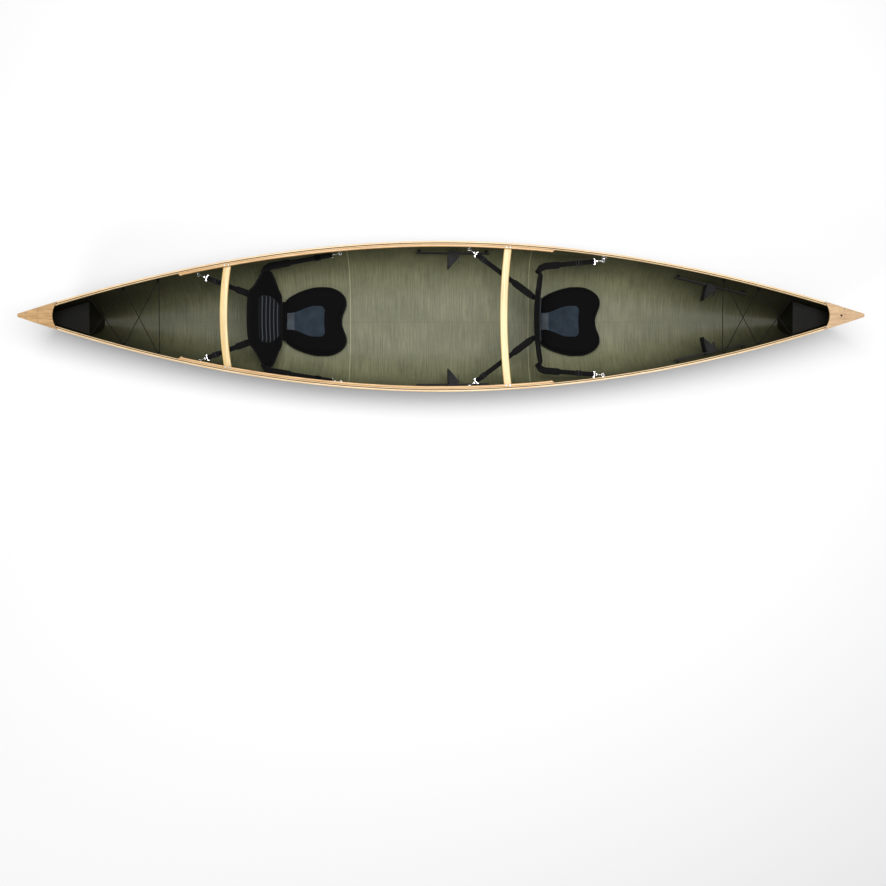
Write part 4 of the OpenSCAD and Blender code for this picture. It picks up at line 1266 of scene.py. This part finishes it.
def strap_rows():
    stern, bow = SEATS["stern"]["rear_x"], SEATS["bow"]["rear_x"]
    return [
        (stern - 0.469, nape_end("stern", 0.80, 0.135), "stern", 0.050),
        (stern + 0.369, wing_end("stern", 0.53), "stern", 0.090),
        (bow - 0.430, nape_end("bow", 0.78, 0.115), "bow", 0.050),
        (bow + 0.362, wing_end("bow", 0.53), "bow", 0.090),
    ]


def ribbon(name, line, across, width, thick):
    """A strap along line; across is its sideways direction, and width and thick go by share."""
    rings = []
    n = len(line) - 1
    for k, p in enumerate(line):
        way = direction(line, k)
        side = (across - way * across.dot(way)).normalized()
        up = way.cross(side)
        w, t = width(k / n), thick(k / n)
        rings.append([p + side * a + up * b for a, b in rounded_ring(w, t, min(0.0008, t * 0.4), 2)])
    return sweep(name, rings, WEBBING)


def make_strap(k, side):
    station, far, end, buckle = strap_rows()[k]
    eye = Vector((station, skin_y(station, EYE_Z - 0.011, 1) - EYE_STAND, EYE_Z))
    way = (far - eye).normalized()
    level = Vector((-way.y, way.x, 0)).normalized()
    up = way.cross(level)

    def turned(v):
        return Vector((v.x, side * v.y, v.z))

    def spot(along, rise):
        """A point on the line from the eye to the backrest."""
        return eye + way * along + up * rise

    name = "%s_strap_%s_%s" % (end, "wing" if k % 2 else "nape", "port" if side > 0 else "stbd")
    length = (far - eye).length
    line = [spot(BAR + buckle - 0.018 + (length - BAR - buckle - 0.002) * s / 24, 0) for s in range(25)]
    if k % 2:
        inboard = ((-0.006, -0.010, 0), (-0.016, -0.024, -0.001), (-0.030, -0.040, -0.002))
    else:
        inboard = ((0.004, 0, -0.001),)
    line += [far + Vector(step) for step in inboard]
    sleeve_from = 0.52 if k % 2 else 0.60

    def sleeve(s, end_at, end_run):
        return smooth_step((s - sleeve_from) / 0.04) * (1 - smooth_step((s - end_at) / end_run))

    strap = ribbon(name, [turned(p) for p in line], turned(level),
                   lambda s: WEB_W + 0.012 * sleeve(s, 0.93, 0.06),
                   lambda s: WEB_T + 0.0055 * sleeve(s, 0.95, 0.05))
    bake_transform(strap)
    # The part between the hook's bar and the buckle, doubled back on itself
    near = [spot(BAR + buckle + 0.016 - (buckle + 0.014) * s / 8, 0.0002) for s in range(8)]
    near.append(spot(BAR + 0.002, 0.0002 + 0.0026))
    bend = [spot(BAR + 0.001 + 0.0030 * math.cos(a), 0.0030 * math.sin(a))
            for a in [math.pi * (0.5 + s / 8) for s in range(1, 8)]]
    back = [spot(BAR + 0.002 + (buckle + 0.060) * s / 10, -0.0030 - 0.0024 * math.sin(math.pi * s / 10))
            for s in range(11)]
    tail = ribbon(name + "_tail", [turned(p) for p in near + bend + back], turned(level),
                  lambda s: WEB_W - 0.001, lambda s: WEB_T - 0.0004)
    settle(tail, "root")
    return strap


def make_straps():
    for k in range(4):
        for side in (1, -1):
            strap = make_strap(k, side)
            if side > 0 and k % 2 == 0:
                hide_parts(("stern" if k == 0 else "bow") + "_seat_straps")


# ---- Lacing ------
CORD_R = 0.00225
BULKHEAD = 0.355                     # from the end of the canoe
LACE_BACK = (0.425, 0.225, 0.030)    # from the bulkhead to each pair of eyes
LACE_LEAD = 0.0055
KNOT = 0.00208


def lacing_path():
    bulkhead = LOA / 2 - BULKHEAD
    spots = {}
    for j, back in enumerate(LACE_BACK):
        x = bulkhead - back
        z = sheer_z(x) - 0.070
        spots[j] = (x, skin_y(x, z - 0.008, 1) - 0.012, z)

    def lead(j, side, way):
        x, y, z = spots[j]
        return Vector((x + way * LACE_LEAD, side * y, z))

    def cross(a, b, lift):
        return (a + b) / 2 + Vector((0, 0, lift))

    lift = CORD_R + 0.0004
    out = [lead(2, -1, 1), lead(2, -1, -1)]
    out += [cross(lead(2, -1, -1), lead(1, 1, 1), lift), lead(1, 1, 1), lead(1, 1, -1)]
    out += [cross(lead(1, 1, -1), lead(0, -1, 1), lift), lead(0, -1, 1), lead(0, -1, -1)]
    out += [lead(0, 1, -1), lead(0, 1, 1)]
    out += [cross(lead(0, 1, 1), lead(1, -1, -1), -lift), lead(1, -1, -1), lead(1, -1, 1)]
    out += [cross(lead(1, -1, 1), lead(2, 1, -1), -lift), lead(2, 1, -1), lead(2, 1, 1)]
    return out


def rounded_corners(points, reach, steps=5):
    out = [points[0]]
    for a, p, b in zip(points, points[1:], points[2:]):
        near = p + (a - p).normalized() * min(reach, (a - p).length * 0.45)
        far = p + (b - p).normalized() * min(reach, (b - p).length * 0.45)
        for s in range(steps + 1):
            t = s / steps
            out.append(near * (1 - t) ** 2 + p * 2 * t * (1 - t) + far * t * t)
    return out + [points[-1]]


def make_lacing(end, flip):
    path = [Vector((p.x * flip, p.y, p.z)) for p in lacing_path()]
    line = rounded_corners(path, 0.006)
    cord = sweep(end + "_lacing_cord", tube_rings(line, CORD_R, 10), CORD)
    settle(cord, "root", end + "_lacing")
    for tag, at in (("stbd", path[0]), ("port", path[-1])):
        knot = []
        for s in range(61):
            a = 2 * math.pi * s / 60
            knot.append(at + Vector((0.0022 * math.sin(3 * a),
                                     KNOT * (math.sin(a) + 1.4 * math.sin(2 * a)),
                                     KNOT * (math.cos(a) - 1.4 * math.cos(2 * a)))))
        lump = sweep("%s_lacing_knot_%s" % (end, tag), tube_rings(knot, CORD_R, 8), CORD)
        settle(lump, "root")


# ---- Foot brace trim ------
BRACE_Z = 0.225
BRACE_LEN = 0.440
TRACK_H = 0.024
TRACK_D = 0.010
SLEEVE = 0.060
PEDAL_REACH = 0.088
PEDAL_H = 0.096
BRACE_X = (0.070, 1.612)             # middles of the stern and the bow paddler's foot braces


def brace_matrix(i):
    """Middle of rail i: +X along it, +Y outboard; the starboard ones are mirrored."""
    def side(x):
        return skin_y(x, BRACE_Z - TRACK_H / 2 - 0.002, 1) - 0.012 - TRACK_D / 2

    xc = BRACE_X[(i - 1) // 2]
    a, b = side(xc - BRACE_LEN / 2), side(xc + BRACE_LEN / 2)
    flip = Matrix.Diagonal((1, -1 if i % 2 == 0 else 1, 1, 1))
    return (flip @ Matrix.Translation((xc, (a + b) / 2, BRACE_Z))
            @ Matrix.Rotation(math.atan((b - a) / BRACE_LEN), 4, "Z"))


def bar_mesh(name, boxes, matrix, material, bevel):
    """Small bevelled bars, each box being (lowest corner, highest corner) in the matrix's frame."""
    verts, faces = [], []
    for lo, hi in boxes:
        start = len(verts)
        for x in (lo[0], hi[0]):
            for y in (lo[1], hi[1]):
                for z in (lo[2], hi[2]):
                    verts.append(matrix @ Vector((x, y, z)))
        for quad in ((0, 1, 3, 2), (4, 6, 7, 5), (0, 4, 5, 1), (2, 3, 7, 6), (0, 2, 6, 4), (1, 5, 7, 3)):
            faces.append([start + q for q in quad])
    obj = mesh_object(name, verts, faces, [material], smooth=False)
    fix_normals(obj)
    soften = obj.modifiers.new("bevel", "BEVEL")
    soften.width = bevel
    soften.segments = 2
    apply_modifiers(obj)
    return obj


def make_brace_trim():
    tip = -TRACK_D / 2 - 0.0044 - PEDAL_REACH
    for i in range(1, 5):
        matrix = brace_matrix(i)
        ribs = []
        for k in range(9):
            z = -PEDAL_H / 2 + 0.012 + (PEDAL_H - 0.024) * k / 8
            short = 0.006 if k in (0, 8) else 0
            ribs.append(((-SLEEVE / 2 - 0.0022, tip + 0.008 + short, z - 0.0022),
                         (-SLEEVE / 2 + 0.0005, tip + PEDAL_REACH - 0.012 - short, z + 0.0022)))
        grip = bar_mesh("pedal_grip_%d" % i, ribs, matrix, RUBBER, 0.0008)
        settle(grip, "pedal_body_%d" % i)
        teeth = []
        count = 36
        run = BRACE_LEN - 0.048
        for k in range(count):
            x = -run / 2 + run * (k + 0.5) / count
            y = -TRACK_D / 2
            teeth.append(((x - 0.0024, y + 0.0004, -0.0052), (x + 0.0024, y + 0.0034, 0.0052)))
        rack = bar_mesh("brace_rack_%d" % i, teeth, matrix, GREY_PLASTIC, 0.0005)
        settle(rack, "root")


# ---- Stage ------
def make_stage():
    floor = mesh_object("floor", [(-30, -30, 0), (30, -30, 0), (30, 30, 0), (-30, 30, 0)],
                        [[0, 1, 2, 3]], [], smooth=False)
    sh = Shader("floor_paint", Roughness=0.9)
    sh.bsdf.inputs["Base Color"].default_value = (0.9, 0.9, 0.9, 1)
    floor.data.materials.append(sh.material)
    world = bpy.data.worlds.new("studio")
    bpy.context.scene.world = world
    world.use_nodes = True
    tree = world.node_tree
    sky = tree.nodes["Background"]
    sky.inputs["Color"].default_value = (1, 1, 1, 1)
    # The backdrop looks white, and lights the canoe less than it looks
    seen = tree.nodes.new("ShaderNodeLightPath")
    strength = tree.nodes.new("ShaderNodeMix")
    strength.inputs[2].default_value = 0.34
    strength.inputs[3].default_value = 0.95
    tree.links.new(seen.outputs["Is Camera Ray"], strength.inputs[0])
    tree.links.new(strength.outputs[0], sky.inputs["Strength"])

    def area(name, place, aim, size, power):
        data = bpy.data.lights.new(name, "AREA")
        data.shape = "RECTANGLE"
        data.size, data.size_y = size
        data.energy = power
        lamp = bpy.data.objects.new(name, data)
        bpy.context.collection.objects.link(lamp)
        lamp.location = place
        lamp.rotation_mode = "QUATERNION"
        lamp.rotation_quaternion = (Vector(aim) - Vector(place)).to_track_quat("-Z", "Y")

    area("key", (0.4, 0.8, 7.5), (0, 0, 0), (6.5, 3.4), 560)
    area("fill", (-5.5, -6.5, 4.5), (0, 0, 0.3), (3.5, 3.5), 150)


make_hull()
make_rails()
for name in ("stern_thwart", "centre_thwart"):
    make_thwart(name)
finish_nodes()
for name in ("stern", "bow"):
    make_pad(name)
    make_back(name)
    make_hinge_flap(name)
make_straps()
make_lacing("bow", 1)
make_lacing("stern", -1)
make_brace_trim()
make_stage()
bpy.context.scene.view_settings.view_transform = "Standard"
